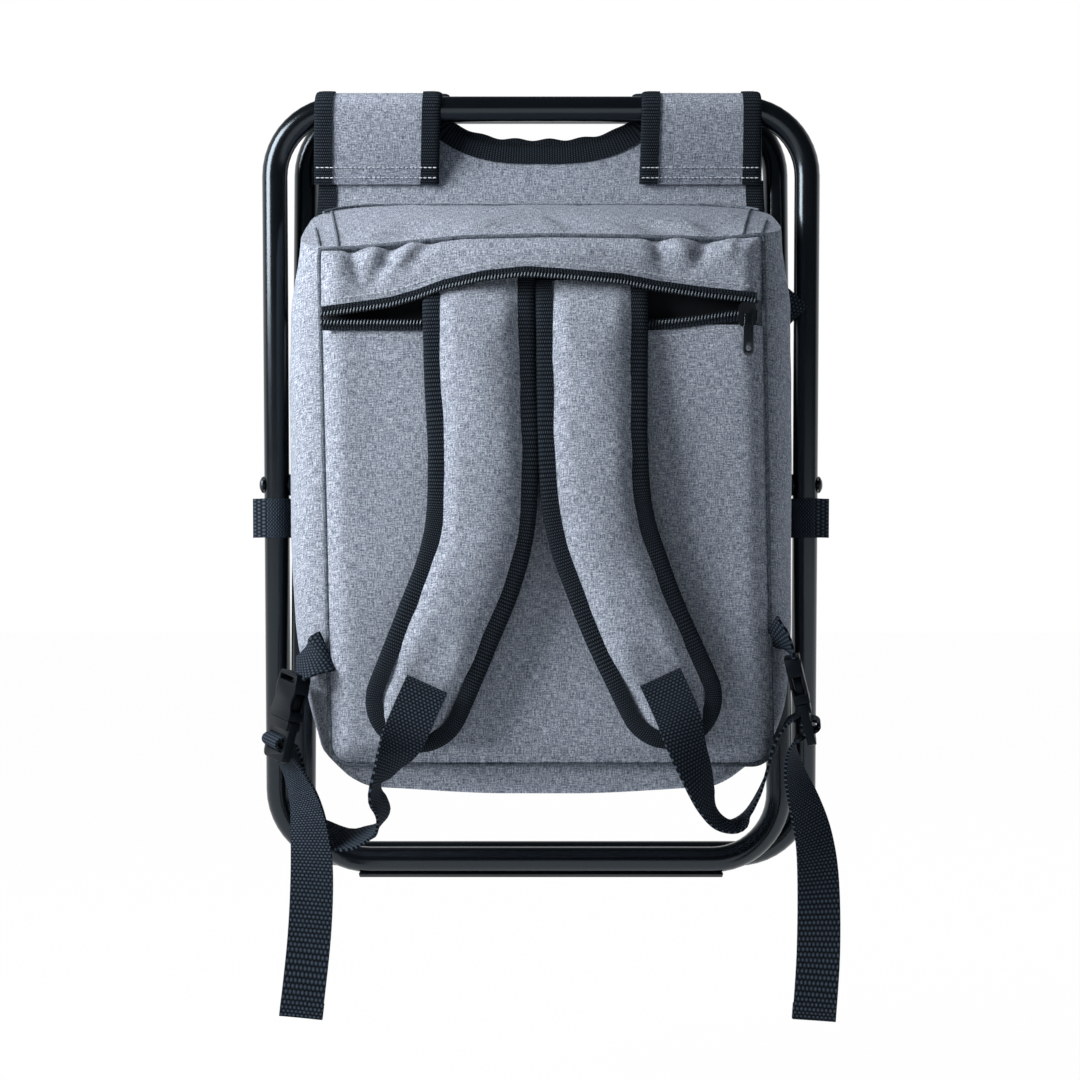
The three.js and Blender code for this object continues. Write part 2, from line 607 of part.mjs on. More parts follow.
// Flat webbing swept along hand-chosen points; each station is a place and the direction of the webbing's width
const ribbon = (stations, steps, width = WEBBING) => {
  const route = new THREE.CatmullRomCurve3(stations.map(([place]) => place));
  const rings = [];
  for (let step = 0; step <= steps; step += 1) {
    const along = step / steps;
    const span = along * (stations.length - 1);
    const low = Math.min(Math.floor(span), stations.length - 2);
    const wide = new THREE.Vector3(...stations[low][1]).lerp(new THREE.Vector3(...stations[low + 1][1]), span - low);
    const at = route.getPoint(along);
    const way = route.getTangent(along);
    wide.addScaledVector(way, -wide.dot(way)).setLength(width / 2);
    const thick = new THREE.Vector3().crossVectors(wide, way).setLength(WEBBING_THICK / 2);
    rings.push([
      at.clone().add(wide).add(thick),
      at.clone().sub(wide).add(thick),
      at.clone().sub(wide).sub(thick),
      at.clone().add(wide).sub(thick),
    ]);
  }
  return loft(rings, false, 2);
};

// Side-release buckles: a socket on the bag and a plug with ladder bars, drawn hanging from the socket's top
const buckleSlot = 3.2;
const socketBody = () => {
  const shape = roundedRect(BUCKLE_WIDTH, -SOCKET_LENGTH, 0, 4);
  const body = plateXZ(shape, -BUCKLE_THICK / 2, BUCKLE_THICK / 2);
  const throat = box(-9.5, 9.5, -2.8, 2.8, -SOCKET_LENGTH - 1, -SOCKET_LENGTH + PRONG_LENGTH + 1);
  const windows = box(-BUCKLE_WIDTH, BUCKLE_WIDTH, -2.8, 2.8, -SOCKET_LENGTH + 5, -SOCKET_LENGTH + 15);
  const barSlot = box(-10.5, 10.5, -BUCKLE_THICK, BUCKLE_THICK, -2.4 - buckleSlot, -2.4);
  return cut(body, throat, windows, barSlot);
};
const plugTop = -SOCKET_LENGTH - CLEAR;
const plugBody = () => {
  const frame = plateXZ(roundedRect(BUCKLE_WIDTH, plugTop - PLUG_LENGTH, plugTop, 3.5), -2.5, 2.5);
  const upper = box(-10.5, 10.5, -9, 9, plugTop - 9 - buckleSlot, plugTop - 9);
  const lower = box(-10.5, 10.5, -9, 9, plugTop - 15.5 - buckleSlot, plugTop - 15.5);
  const reach = plugTop + PRONG_LENGTH;
  const prong = (low, high) => box(low, high, -2.2, 2.2, plugTop - 2, reach);
  return join(cut(frame, upper, lower), prong(-8.8, -5), prong(5, 8.8), prong(-1.6, 1.6));
};
const webFace = padFront - 1.1;
// Places on the bag as shares of its width, depth and height, and places lying on a pad's face
const onBag = (x, y, down) => new THREE.Vector3(x * BAG_WIDTH, -y * BAG_FRONT, bagTop - down * BAG_HEIGHT);
const onPad = (x, lift, down) => new THREE.Vector3(x * BAG_WIDTH, webFace - lift * WEBBING_THICK, bagTop - down * BAG_HEIGHT);
const buckles = [
  {
    name: 'left',
    hang: onBag(-0.4717, 1.0275, 0.791),
    along: new THREE.Vector3(-0.225, -0.02, -0.974),
    face: new THREE.Vector3(-0.5, -0.85, 0.1),
    tether: [
      [onBag(-0.4433, 1.0367, 0.7404), [0.4, 0.2, -0.9]],
      [onBag(-0.4583, 1.0275, 0.7582), [0.6, -0.1, -0.75]],
      [onBag(-0.4683, 1.0275, 0.7746), [0.75, -0.5, -0.3]],
      [onBag(-0.4707, 1.0275, 0.7877), [0.83, -0.51, -0.18]],
    ],
    webbing: [
      [onPad(-0.2133, 0, 0.8033), [0.93, 0, -0.36]],
      [onPad(-0.23, 0, 0.8333), [0.93, 0, -0.36]],
      [onPad(-0.2473, 1, 0.8661), [0.93, 0.05, -0.36]],
      [onPad(-0.265, 3, 0.8975), [0.85, 0.45, -0.3]],
      [onPad(-0.2867, 3.3333, 0.9262), [0.5, 0.84, -0.2]],
      [onPad(-0.305, 2.6667, 0.9563), [0.2, 0.97, -0.1]],
      [onBag(-0.3087, 1.2294, 0.9768), [0.1, 0.99, 0.1]],
      [onBag(-0.3027, 1.1927, 1), [0.12, 0.98, 0.1]],
      [onBag(-0.305, 1.1422, 1.0232), [0.15, 0.97, 0.15]],
      [onBag(-0.325, 1.0826, 1.0423), [0.2, 0.95, 0.25]],
      [onBag(-0.3567, 1.0183, 1.0533), [0.1, 0.95, 0.3]],
      [onBag(-0.3933, 0.9404, 1.0546), [0.1, 0.96, 0.25]],
      [onBag(-0.4367, 0.9037, 1.0383), [0, 0.95, 0.3]],
      [onBag(-0.4767, 0.8853, 1.0041), [-0.3, 0.92, 0.2]],
      [onBag(-0.5, 0.9174, 0.9713), [-0.55, 0.8, 0.2]],
      [onBag(-0.5073, 0.9771, 0.944), [-0.8, 0.56, 0.18]],
      [onBag(-0.5033, 1.0055, 0.9249), [-0.83, 0.51, 0.18]],
      [onBag(-0.496, 1.0064, 0.8986), [-0.83, 0.51, 0.18]],
    ],
    tail: [
      [onBag(-0.512, 1.0642, 0.912), [0.83, -0.51, -0.18]],
      [onBag(-0.5177, 1.0679, 0.9333), [0.83, -0.51, -0.18]],
      [onBag(-0.5033, 1.0917, 0.959), [0.88, -0.45, 0]],
      [onBag(-0.4733, 1.0872, 0.9973), [0.95, -0.3, 0.1]],
      [onBag(-0.4513, 1.0872, 1.0464), [0.99, -0.12, 0]],
      [onBag(-0.4433, 1.0505, 1.1202), [1, 0, 0]],
      [onBag(-0.4483, 1, 1.2158), [1, 0, 0]],
      [onBag(-0.4667, 0.9541, 1.3415), [1, 0.05, 0]],
    ],
  },
  {
    name: 'right',
    hang: onBag(0.4817, 1.0367, 0.765),
    along: new THREE.Vector3(0.236, 0.02, -0.971),
    face: new THREE.Vector3(0.9, -0.35, 0.22),
    tether: [
      [onBag(0.4483, 1.0413, 0.7213), [-0.4, 0.2, -0.9]],
      [onBag(0.4717, 1.0459, 0.7377), [-0.3, 0.6, -0.7]],
      [onBag(0.4777, 1.0413, 0.75), [0.1, 0.95, -0.3]],
      [onBag(0.4807, 1.0367, 0.7617), [0.336, 0.925, 0.1]],
    ],
    webbing: [
      [onPad(0.2233, 0, 0.7923), [0.92, 0, 0.38]],
      [onPad(0.2417, 0, 0.8251), [0.93, 0, 0.36]],
      [onPad(0.2587, 0.2667, 0.8579), [0.95, 0.05, 0.3]],
      [onPad(0.2743, 0.3333, 0.9016), [0.95, 0.1, 0.25]],
      [onPad(0.294, 0, 0.9481), [0.88, 0.4, 0.25]],
      [onBag(0.3133, 1.2064, 0.9918), [0.68, 0.7, 0.25]],
      [onBag(0.3367, 1.1468, 1.0219), [0.42, 0.88, 0.2]],
      [onBag(0.3683, 1.0826, 1.0355), [0.2, 0.97, 0]],
      [onBag(0.3967, 1.0459, 1.0205), [0.15, 0.98, 0]],
      [onBag(0.421, 1.0229, 0.9836), [0.15, 0.98, 0]],
      [onBag(0.4393, 1.0138, 0.9399), [0.2, 0.97, 0]],
      [onBag(0.4577, 1.0046, 0.8975), [0.25, 0.96, 0.05]],
      [onBag(0.4803, 0.9982, 0.8669), [0.336, 0.925, 0.1]],
      [onBag(0.5, 1.0193, 0.8626), [0.336, 0.925, 0.1]],
    ],
    tail: [
      [onBag(0.5093, 1.0174, 0.8943), [0.336, 0.925, 0.1]],
      [onBag(0.4943, 1.0009, 0.8973), [0.336, 0.925, 0.1]],
      [onBag(0.4853, 1.0092, 0.9194), [0.45, 0.88, 0]],
      [onBag(0.4887, 1.0229, 0.9563), [0.75, 0.65, 0]],
      [onBag(0.5033, 1.0229, 0.9973), [0.93, 0.35, 0]],
      [onBag(0.5267, 1.0092, 1.0546), [0.99, 0.1, 0]],
      [onBag(0.5367, 1.0092, 1.1257), [1, 0, 0]],
      [onBag(0.535, 1.0092, 1.235), [1, 0, 0]],
      [onBag(0.5267, 1.0092, 1.3415), [1, 0, 0]],
    ],
  },
];
for (const { name, hang, along, face, tether, webbing, tail } of buckles) {
  const down = along.clone().normalize();
  const out = face.clone().addScaledVector(down, -face.dot(down)).normalize();
  const up = down.clone().negate();
  const across = new THREE.Vector3().crossVectors(up, out).normalize();
  const turn = new THREE.Matrix4().makeBasis(across, out.clone().negate(), up);
  const clip = new THREE.Group();
  clip.position.copy(hang);
  clip.quaternion.setFromRotationMatrix(turn);
  part.add(clip);
  add(clip, `buckle_socket_${name}`, socketBody(), 'nylon');
  add(clip, `buckle_plug_${name}`, plugBody(), 'nylon');
  add(part, `buckle_tether_${name}`, ribbon(tether, 6), 'binding');
  add(part, `strap_webbing_${name}`, ribbon(webbing, webbing.length * 2 + 4), 'binding');
  add(part, `strap_tail_${name}`, ribbon(tail, 12), 'binding');
}

export default part;
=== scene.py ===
# %% [markdown]
# # A folding cooler stool, folded flat for carrying
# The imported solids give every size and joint. Here the cloth, webbing, zips and paint are made over them.
# Lengths of the pieces are in millimetres and become metres when a point is placed. Camera, lights, weaves and what
# is said of cords and sheets are in metres.
# %% Frame
import math

import bpy
from mathutils import Matrix, Vector, noise


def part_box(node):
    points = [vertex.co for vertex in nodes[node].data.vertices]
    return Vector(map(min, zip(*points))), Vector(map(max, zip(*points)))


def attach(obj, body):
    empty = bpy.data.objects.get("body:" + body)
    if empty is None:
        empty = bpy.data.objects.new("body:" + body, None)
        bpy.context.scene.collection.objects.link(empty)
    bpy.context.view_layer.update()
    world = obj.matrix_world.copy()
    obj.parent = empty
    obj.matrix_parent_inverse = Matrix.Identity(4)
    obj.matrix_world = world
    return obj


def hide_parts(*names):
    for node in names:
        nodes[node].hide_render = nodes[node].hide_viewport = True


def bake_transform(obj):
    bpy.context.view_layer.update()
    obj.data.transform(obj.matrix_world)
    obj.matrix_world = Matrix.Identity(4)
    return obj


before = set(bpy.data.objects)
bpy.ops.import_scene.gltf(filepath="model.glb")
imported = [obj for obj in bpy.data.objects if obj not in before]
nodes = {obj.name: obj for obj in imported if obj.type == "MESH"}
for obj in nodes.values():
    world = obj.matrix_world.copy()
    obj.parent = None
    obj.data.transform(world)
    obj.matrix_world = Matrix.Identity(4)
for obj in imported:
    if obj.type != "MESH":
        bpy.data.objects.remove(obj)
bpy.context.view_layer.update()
MM = 0.001
SIDES = (-1, "left"), (1, "right")

# %% [markdown]
# The camera stands level with the middle of the picture, a little over a metre away, with a mild portrait lens. A
# wider lens from nearer would make the bag swell towards the viewer.
# %% Camera
SENSOR, DISTANCE, SEEN_WIDTH = 36, 1150, 691.2
bpy.ops.object.camera_add(location=(-0.00064, -DISTANCE * MM, -0.273), rotation=(math.pi / 2, 0, 0))
camera = bpy.context.object
camera.data.sensor_width = SENSOR
camera.data.lens = SENSOR * DISTANCE / SEEN_WIDTH
bpy.context.scene.camera = camera
print("lens:", round(camera.data.lens, 1))


# %% [markdown]
# Materials share a few helpers. An input of a node is given as a value, or as the socket that feeds it. Nodes could
# be wired by hand in the editor. Written this way, a chain of them reads like a sum.
# %% Node helpers
def feed(tree, socket, source):
    if isinstance(source, bpy.types.NodeSocket):
        tree.links.new(source, socket)
    else:
        socket.default_value = source


def fill(tree, node, **inputs):
    for key, source in inputs.items():
        feed(tree, node.inputs[key.replace("_", " ")], source)
    return node


def put(tree, kind, settings=None, **inputs):
    node = tree.nodes.new("ShaderNode" + kind)
    for key, value in (settings or {}).items():
        setattr(node, key, value)
    return fill(tree, node, **inputs)


def calc(tree, operation, *terms, clamp=False):
    """One step of arithmetic on sockets and numbers."""
    node = put(tree, "Math", {"operation": operation, "use_clamp": clamp})
    for socket, term in zip(node.inputs, terms):
        feed(tree, socket, term)
    return node.outputs[0]


def blended(tree, share, a, b, kind="RGBA"):
    return put(tree, "Mix", {"data_type": kind}, Factor=share, A=a, B=b).outputs["Result"]


def finish_named(name, roughness, **inputs):
    made = bpy.data.materials.new(name)
    made.use_nodes = True
    tree = made.node_tree
    return made, tree, fill(tree, tree.nodes["Principled BSDF"], Roughness=roughness, **inputs)


def effect(name, inputs, outputs):
    """Starts a node group. An input is a colour where its value is a tuple."""
    group = bpy.data.node_groups.new(name, "ShaderNodeTree")
    for label, value in inputs.items():
        kind = "NodeSocketColor" if isinstance(value, tuple) else "NodeSocketFloat"
        group.interface.new_socket(label, in_out="INPUT", socket_type=kind).default_value = value
    for label in outputs:
        kind = "NodeSocketColor" if label == "Color" else "NodeSocketFloat"
        group.interface.new_socket(label, in_out="OUTPUT", socket_type=kind)
    print("group:", name)
    return group, group.nodes.new("NodeGroupInput").outputs, group.nodes.new("NodeGroupOutput")


# %% [markdown]
# The cloth is a heather polyester: threads of slightly different greys cross each other, so short dark and pale
# streaks run both ways. Four stretched noises make the threads. They lie on the cloth as if it were flat: across it
# by x, or by y where it faces sideways, and down it by z with a part of y. A picture of cloth would do too, but noise
# has no seams and stays sharp close up.
# %% Heather group
SIDEWAYS, LAID_DOWN = 0.72, 0.3
STREAKS = (720, 3000, 1), (3000, 720, 1), (190, 2400, 1), (2400, 190, 1)
heather, given, end = effect(
    "heather threads",
    {"Dark": (0.085, 0.099, 0.126, 1), "Middle": (0.240, 0.268, 0.326, 1), "Pale": (0.53, 0.56, 0.62, 1)},
    ["Color", "Height", "Roughness"],
)
spot = put(heather, "TexCoord").outputs
where = put(heather, "SeparateXYZ", Vector=spot["Object"]).outputs
facing = put(heather, "SeparateXYZ", Vector=spot["Normal"]).outputs
on_side = calc(heather, "GREATER_THAN", calc(heather, "ABSOLUTE", facing["X"]), SIDEWAYS)
across = blended(heather, on_side, where["X"], where["Y"], "FLOAT")
down = calc(heather, "MULTIPLY_ADD", where["Y"], LAID_DOWN, where["Z"])
lay_flat = put(heather, "CombineXYZ", X=across, Y=down).outputs["Vector"]
threads = 0.0
for scale in STREAKS:
    drawn = put(heather, "Mapping", Vector=lay_flat, Scale=scale).outputs["Vector"]
    grain = put(heather, "TexNoise", Vector=drawn, Scale=1.0, Detail=0.0).outputs["Fac"]
    threads = calc(heather, "ADD", threads, grain)
height = calc(heather, "MULTIPLY", threads, 1 / len(STREAKS))
ramp = put(heather, "ValToRGB", Fac=height)
for stop, (at, grey) in zip(ramp.color_ramp.elements, ((0.38, 0), (0.62, 1))):
    stop.position, stop.color = at, (grey, grey, grey, 1)
tone = ramp.outputs["Color"]
dull = blended(heather, calc(heather, "MULTIPLY", tone, 2.0, clamp=True), given["Dark"], given["Middle"])
bright = calc(heather, "MULTIPLY_ADD", tone, 2.0, -1.0, clamp=True)
nap = put(heather, "MapRange", Value=height, From_Min=0.35, From_Max=0.65, To_Min=0.96, To_Max=0.82)
fill(
    heather, end,
    Color=blended(heather, bright, dull, given["Pale"]), Height=height, Roughness=nap.outputs["Result"],
)

# %% [markdown]
# Tape and webbing are woven in ribs across their length. Each such piece has a UV map in metres, across and along, so
# the ribs follow the strap wherever it twists. Every second row is moved by half a strand. Modelled ribs would need
# far too many faces, so they are a bump and a change of tone.
# %% Rib group
ribs, given, end = effect(
    "woven ribs",
    {
        "Pitch": 0.0016, "Strand": 0.0024,
        "Dark": (0.004, 0.005, 0.006, 1), "Pale": (0.026, 0.032, 0.041, 1),
    },
    ["Color", "Height"],
)
flat = put(ribs, "UVMap", {"uv_map": "strap"}).outputs["UV"]
split = put(ribs, "SeparateXYZ", Vector=flat).outputs
across = calc(ribs, "DIVIDE", split["X"], given["Strand"])
along = calc(ribs, "DIVIDE", split["Y"], given["Pitch"])
moved = calc(ribs, "MULTIPLY_ADD", calc(ribs, "FLOOR", along), 0.5, across)
knit = calc(ribs, "MULTIPLY", *(calc(ribs, "PINGPONG", way, 0.5) for way in (moved, along)))
raised = put(ribs, "MapRange", Value=knit, From_Max=0.18).outputs["Result"]
fill(ribs, end, Color=blended(ribs, raised, given["Dark"], given["Pale"]), Height=raised)

# %% [markdown]
# Powder coat, moulded plastic, metal, thread and foil share a fine noise for their skin and a broad one for their
# tone and gloss. One group with a few inputs keeps these finishes alike.
# %% Skin group
skin, given, end = effect(
    "fine skin",
    {"Scale": 900.0, "Base": (0.01, 0.01, 0.01, 1), "Spread": 0.3, "Gloss": 0.3, "Haze": 0.12},
    ["Color", "Roughness", "Height"],
)
where = put(skin, "TexCoord").outputs["Object"]
fine = put(skin, "TexNoise", Vector=where, Scale=given["Scale"], Detail=2.0).outputs["Fac"]
broad = put(skin, "TexNoise", Vector=where, Scale=35.0, Detail=3.0).outputs["Fac"]
tint = calc(skin, "MULTIPLY_ADD", broad, given["Spread"], 0.85)
toned = put(skin, "VectorMath", {"operation": "SCALE"}, Vector=given["Base"], Scale=tint)
rub = calc(skin, "MULTIPLY_ADD", broad, given["Haze"], given["Gloss"])
fill(skin, end, Color=toned.outputs["Vector"], Roughness=rub, Height=fine)


# %% [markdown]
# Each finish places a group with its own values and takes its colour, bump and, where it has one, roughness.
# %% Finishes
def grouped(name, group, roughness, depth, shader_values=None, **values):
    made, tree, shader = finish_named(name, roughness, **(shader_values or {}))
    source = put(tree, "Group", {"node_tree": group}, **values).outputs
    bump = put(tree, "Bump", Strength=0.6, Distance=depth, Height=source["Height"])
    fill(tree, shader, Base_Color=source["Color"], Normal=bump.outputs["Normal"])
    if "Roughness" in source:
        fill(tree, shader, Roughness=source["Roughness"])
    return made


cloth = grouped("heather cloth", heather, 0.9, 0.00014, {"Specular_IOR_Level": 0.1})
COOL = {"Specular_Tint": (0.75, 0.88, 1, 1)}
tape = grouped(
    "ribbed tape", ribs, 0.9, 0.0005, {"Specular_IOR_Level": 0.04, **COOL},
    Pitch=0.0018, Strand=0.0009, Dark=(0.0012, 0.0016, 0.0022, 1), Pale=(0.046, 0.059, 0.076, 1),
)
webbing = grouped(
    "strap webbing", ribs, 0.8, 0.0008, {"Specular_IOR_Level": 0.06, **COOL},
    Pitch=0.0016, Strand=0.0024, Dark=(0.003, 0.004, 0.006, 1), Pale=(0.06, 0.08, 0.108, 1),
)
coat = grouped(
    "powder coat", skin, 0.3, 0.00003, {"Specular_IOR_Level": 0.6, **COOL},
    Scale=1600.0, Base=(0.002, 0.0026, 0.0036, 1), Gloss=0.17, Haze=0.08,
)
moulded = grouped(
    "moulded plastic", skin, 0.4, 0.00005, {"Specular_IOR_Level": 0.1, **COOL},
    Scale=700.0, Base=(0.003, 0.0045, 0.007, 1), Gloss=0.38, Haze=0.16,
)
dark_steel = grouped(
    "black zip metal", skin, 0.35, 0.00003, {"Metallic": 0.85},
    Scale=900.0, Base=(0.03, 0.035, 0.042, 1), Gloss=0.26, Haze=0.2,
)
puller_steel = grouped(
    "gunmetal", skin, 0.3, 0.00003, {"Metallic": 1.0},
    Scale=900.0, Base=(0.06, 0.068, 0.08, 1), Gloss=0.2, Haze=0.2,
)
coil_nylon = grouped(
    "zip coil nylon", skin, 0.3, 0.00003, {"Specular_IOR_Level": 0.36, **COOL},
    Scale=900.0, Base=(0.012, 0.015, 0.02, 1), Gloss=0.3, Haze=0.1,
)
thread = grouped(
    "sewing thread", skin, 0.8, 0.00005, None,
    Scale=3000.0, Base=(0.62, 0.65, 0.70, 1), Gloss=0.7, Haze=0.2,
)
pale_thread = grouped(
    "cloth thread", skin, 0.8, 0.00005, None,
    Scale=3000.0, Base=(0.52, 0.55, 0.61, 1), Gloss=0.7, Haze=0.2,
)
seam = grouped(
    "seam shadow cloth", heather, 0.95, 0.0004, {"Specular_IOR_Level": 0.1},
    Dark=(0.03, 0.037, 0.05, 1), Middle=(0.10, 0.117, 0.145, 1), Pale=(0.23, 0.26, 0.30, 1),
)
foil = grouped(
    "foil lining", skin, 0.3, 0.0012, {"Metallic": 0.85},
    Scale=70.0, Base=(0.62, 0.64, 0.67, 1), Spread=0.2, Gloss=0.26, Haze=0.2,
)
# Near-black finish for the sheet inside the open pocket: painted shade, not the colour of a lining.
lining = grouped(
    "painted pocket shade", skin, 0.9, 0.0001, {"Specular_IOR_Level": 0.1},
    Scale=500.0, Base=(0.012, 0.013, 0.016, 1), Gloss=0.8, Haze=0.15,
)
print("finishes:", len(bpy.data.materials))


# %% [markdown]
# Soft pieces start as a primitive grid. A function of the two grid directions says where each point goes, which is
# how a pattern cutter thinks of a panel: so far across, so far along. A grid bent by a formula stays even and brings
# its own UV map.
# %% Panel helpers
def activate(piece):
    bpy.ops.object.select_all(action="DESELECT")
    bpy.context.view_layer.objects.active = piece
    piece.select_set(True)


def change(piece, kind, **settings):
    """Adds a modifier and applies it."""
    activate(piece)
    step = piece.modifiers.new("change", kind)
    for key, value in settings.items():
        setattr(step, key, value)
    bpy.ops.object.modifier_apply(modifier=step.name)
    return piece


def face_outward(merge=False):
    """Turns the faces of the active piece outward, after joining the points that coincide if asked."""
    bpy.ops.object.mode_set(mode="EDIT")
    bpy.ops.mesh.select_all(action="SELECT")
    if merge:
        bpy.ops.mesh.remove_doubles(threshold=1e-6)
    bpy.ops.mesh.normals_make_consistent(inside=False)
    bpy.ops.object.mode_set(mode="OBJECT")


def panel(name, across, along, place, size=(0.1, 0.1), closed=False):
    bpy.ops.mesh.primitive_grid_add(x_subdivisions=across, y_subdivisions=along, size=1)
    piece = bpy.context.object
    piece.name = piece.data.name = name
    for point in piece.data.vertices:
        point.co = Vector(place(point.co.x + 0.5, point.co.y + 0.5)) * MM
    layer = piece.data.uv_layers.active
    layer.name = "strap"
    for corner in layer.data:
        corner.uv = (corner.uv[0] * size[0], corner.uv[1] * size[1])
    if closed:
        face_outward(merge=True)
    return piece


def thicken(piece, depth):
    change(piece, "SOLIDIFY", thickness=depth * MM, offset=0.0)
    face_outward()
    return piece


# %% [markdown]
# A finished piece gets one material, smooth shading and the body it moves with, and the solids it stands for are
# hidden. One helper does this for every piece, so that nothing is forgotten.
# %% Dressing helpers
def paint(piece, finish):
    piece.data.materials.clear()
    piece.data.materials.append(finish)


def dress(piece, finish, body, slot, *replaced):
    activate(piece)
    paint(piece, finish)
    bpy.ops.object.shade_smooth_by_angle(angle=math.radians(50))
    if body:
        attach(piece, body)
    if replaced:
        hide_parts(*replaced)
    print(piece.name, len(piece.data.polygons), "faces")
    return piece


# %% [markdown]
# Padded covers bulge between their seams. They could be sculpted by hand. A short cloth simulation with pressure
# inside gives truer folds, and a limit on the movement keeps each cover near its solid.
# %% Swelling
def swell(piece, held, pressure, most, frames=16):
    """Blows the piece up like a filled cover: held points stay, no point moves further than most."""
    scene = bpy.context.scene
    group = piece.vertex_groups.new(name="held")
    group.add([v.index for v in piece.data.vertices if held(v.co / MM)], 1.0, "REPLACE")
    cover = piece.modifiers.new("cover", "CLOTH")
    cover.settings.quality = 4
    cover.settings.mass = 0.3
    cover.settings.bending_stiffness = 0.8
    cover.settings.use_pressure = True
    cover.settings.uniform_pressure_force = pressure
    cover.settings.vertex_group_mass = "held"
    cover.settings.effector_weights.gravity = 0
    cover.collision_settings.use_collision = False
    cover.point_cache.frame_start, cover.point_cache.frame_end = 1, frames
    start = [v.co.copy() for v in piece.data.vertices]
    for number in range(1, frames + 1):
        scene.frame_set(number)
    blown = piece.evaluated_get(bpy.context.evaluated_depsgraph_get())
    moved = [v.co.copy() for v in blown.data.vertices]
    piece.modifiers.remove(cover)
    piece.vertex_groups.remove(group)
    scene.frame_set(1)
    furthest = 0.0
    for point, was, now in zip(piece.data.vertices, start, moved):
        step = now - was
        reach = step.length
        furthest = max(furthest, reach)
        if reach > 1e-9:
            point.co = was + step * (min(reach, most * MM) / reach)
    print(piece.name, "swelled by", round(min(furthest / MM, most), 2), "mm, free", round(furthest / MM, 2))
    return piece


# %% [markdown]
# The shapes are written as blends, steps and curves between a few numbers. Small functions for these keep the later
# cells readable. Wrinkles are a smooth noise, which is the same each time the file runs.
# %% Number helpers
def mix(a, b, t):
    return a + (b - a) * t


def spread(a, b, count):
    """Even steps from a to b, with both ends."""
    return [mix(a, b, k / count) for k in range(count + 1)]


def ease(t):
    t = min(1.0, max(0.0, t))
    return t * t * (3 - 2 * t)


def through(table, at):
    """Reads the straight lines between (place, value) pairs."""
    if at <= table[0][0]:
        return table[0][1]
    for (a, va), (b, vb) in zip(table, table[1:]):
        if at <= b:
            return mix(va, vb, (at - a) / (b - a))
    return table[-1][1]


def rumple(x, y, z, size, depth):
    return depth * noise.noise(Vector((x / size, y / size, z / size)))


# %% [markdown]
# Webbing is swept along a route of given points. Each point also says which way the width of the strap lies, so
# the strap can twist edge-on and back as the real ones do. A curve with a flat bevel could be used, but its twist is
# harder to control.
# %% Strap helpers
def route_point(points, t):
    span = t * (len(points) - 1)
    i = min(int(span), len(points) - 2)
    t = span - i
    a = Vector(points[max(i - 1, 0)])
    b, c = Vector(points[i]), Vector(points[i + 1])
    d = Vector(points[min(i + 2, len(points) - 1)])
    return 0.5 * (2 * b + (c - a) * t + (2 * a - 5 * b + 4 * c - d) * t**2 + (3 * b - a - 3 * c + d) * t**3)


def strap(name, stations, width, depth, steps, across=6, cup=0.0):
    places = [s[0] for s in stations]
    sides = [s[1] for s in stations]
    rows = []
    for k in range(steps + 1):
        t = k / steps
        here = route_point(places, t)
        ahead = route_point(places, min(t + 0.01, 1)) - route_point(places, max(t - 0.01, 0))
        ahead.normalize()
        side = route_point(sides, t)
        side = (side - ahead * side.dot(ahead)).normalized()
        rows.append((here, side, side.cross(ahead)))
    length = sum((b[0] - a[0]).length for a, b in zip(rows, rows[1:]))

    def place(u, v):
        here, side, face = rows[round(v * steps)]
        s = u - 0.5
        return here + side * (s * width) + face * (cup * (0.25 - s * s))

    piece = panel(name, across, steps, place, (width * MM, length * MM))
    thicken(piece, depth)
    return piece, [tuple(r[0] * MM) for r in rows], length * MM
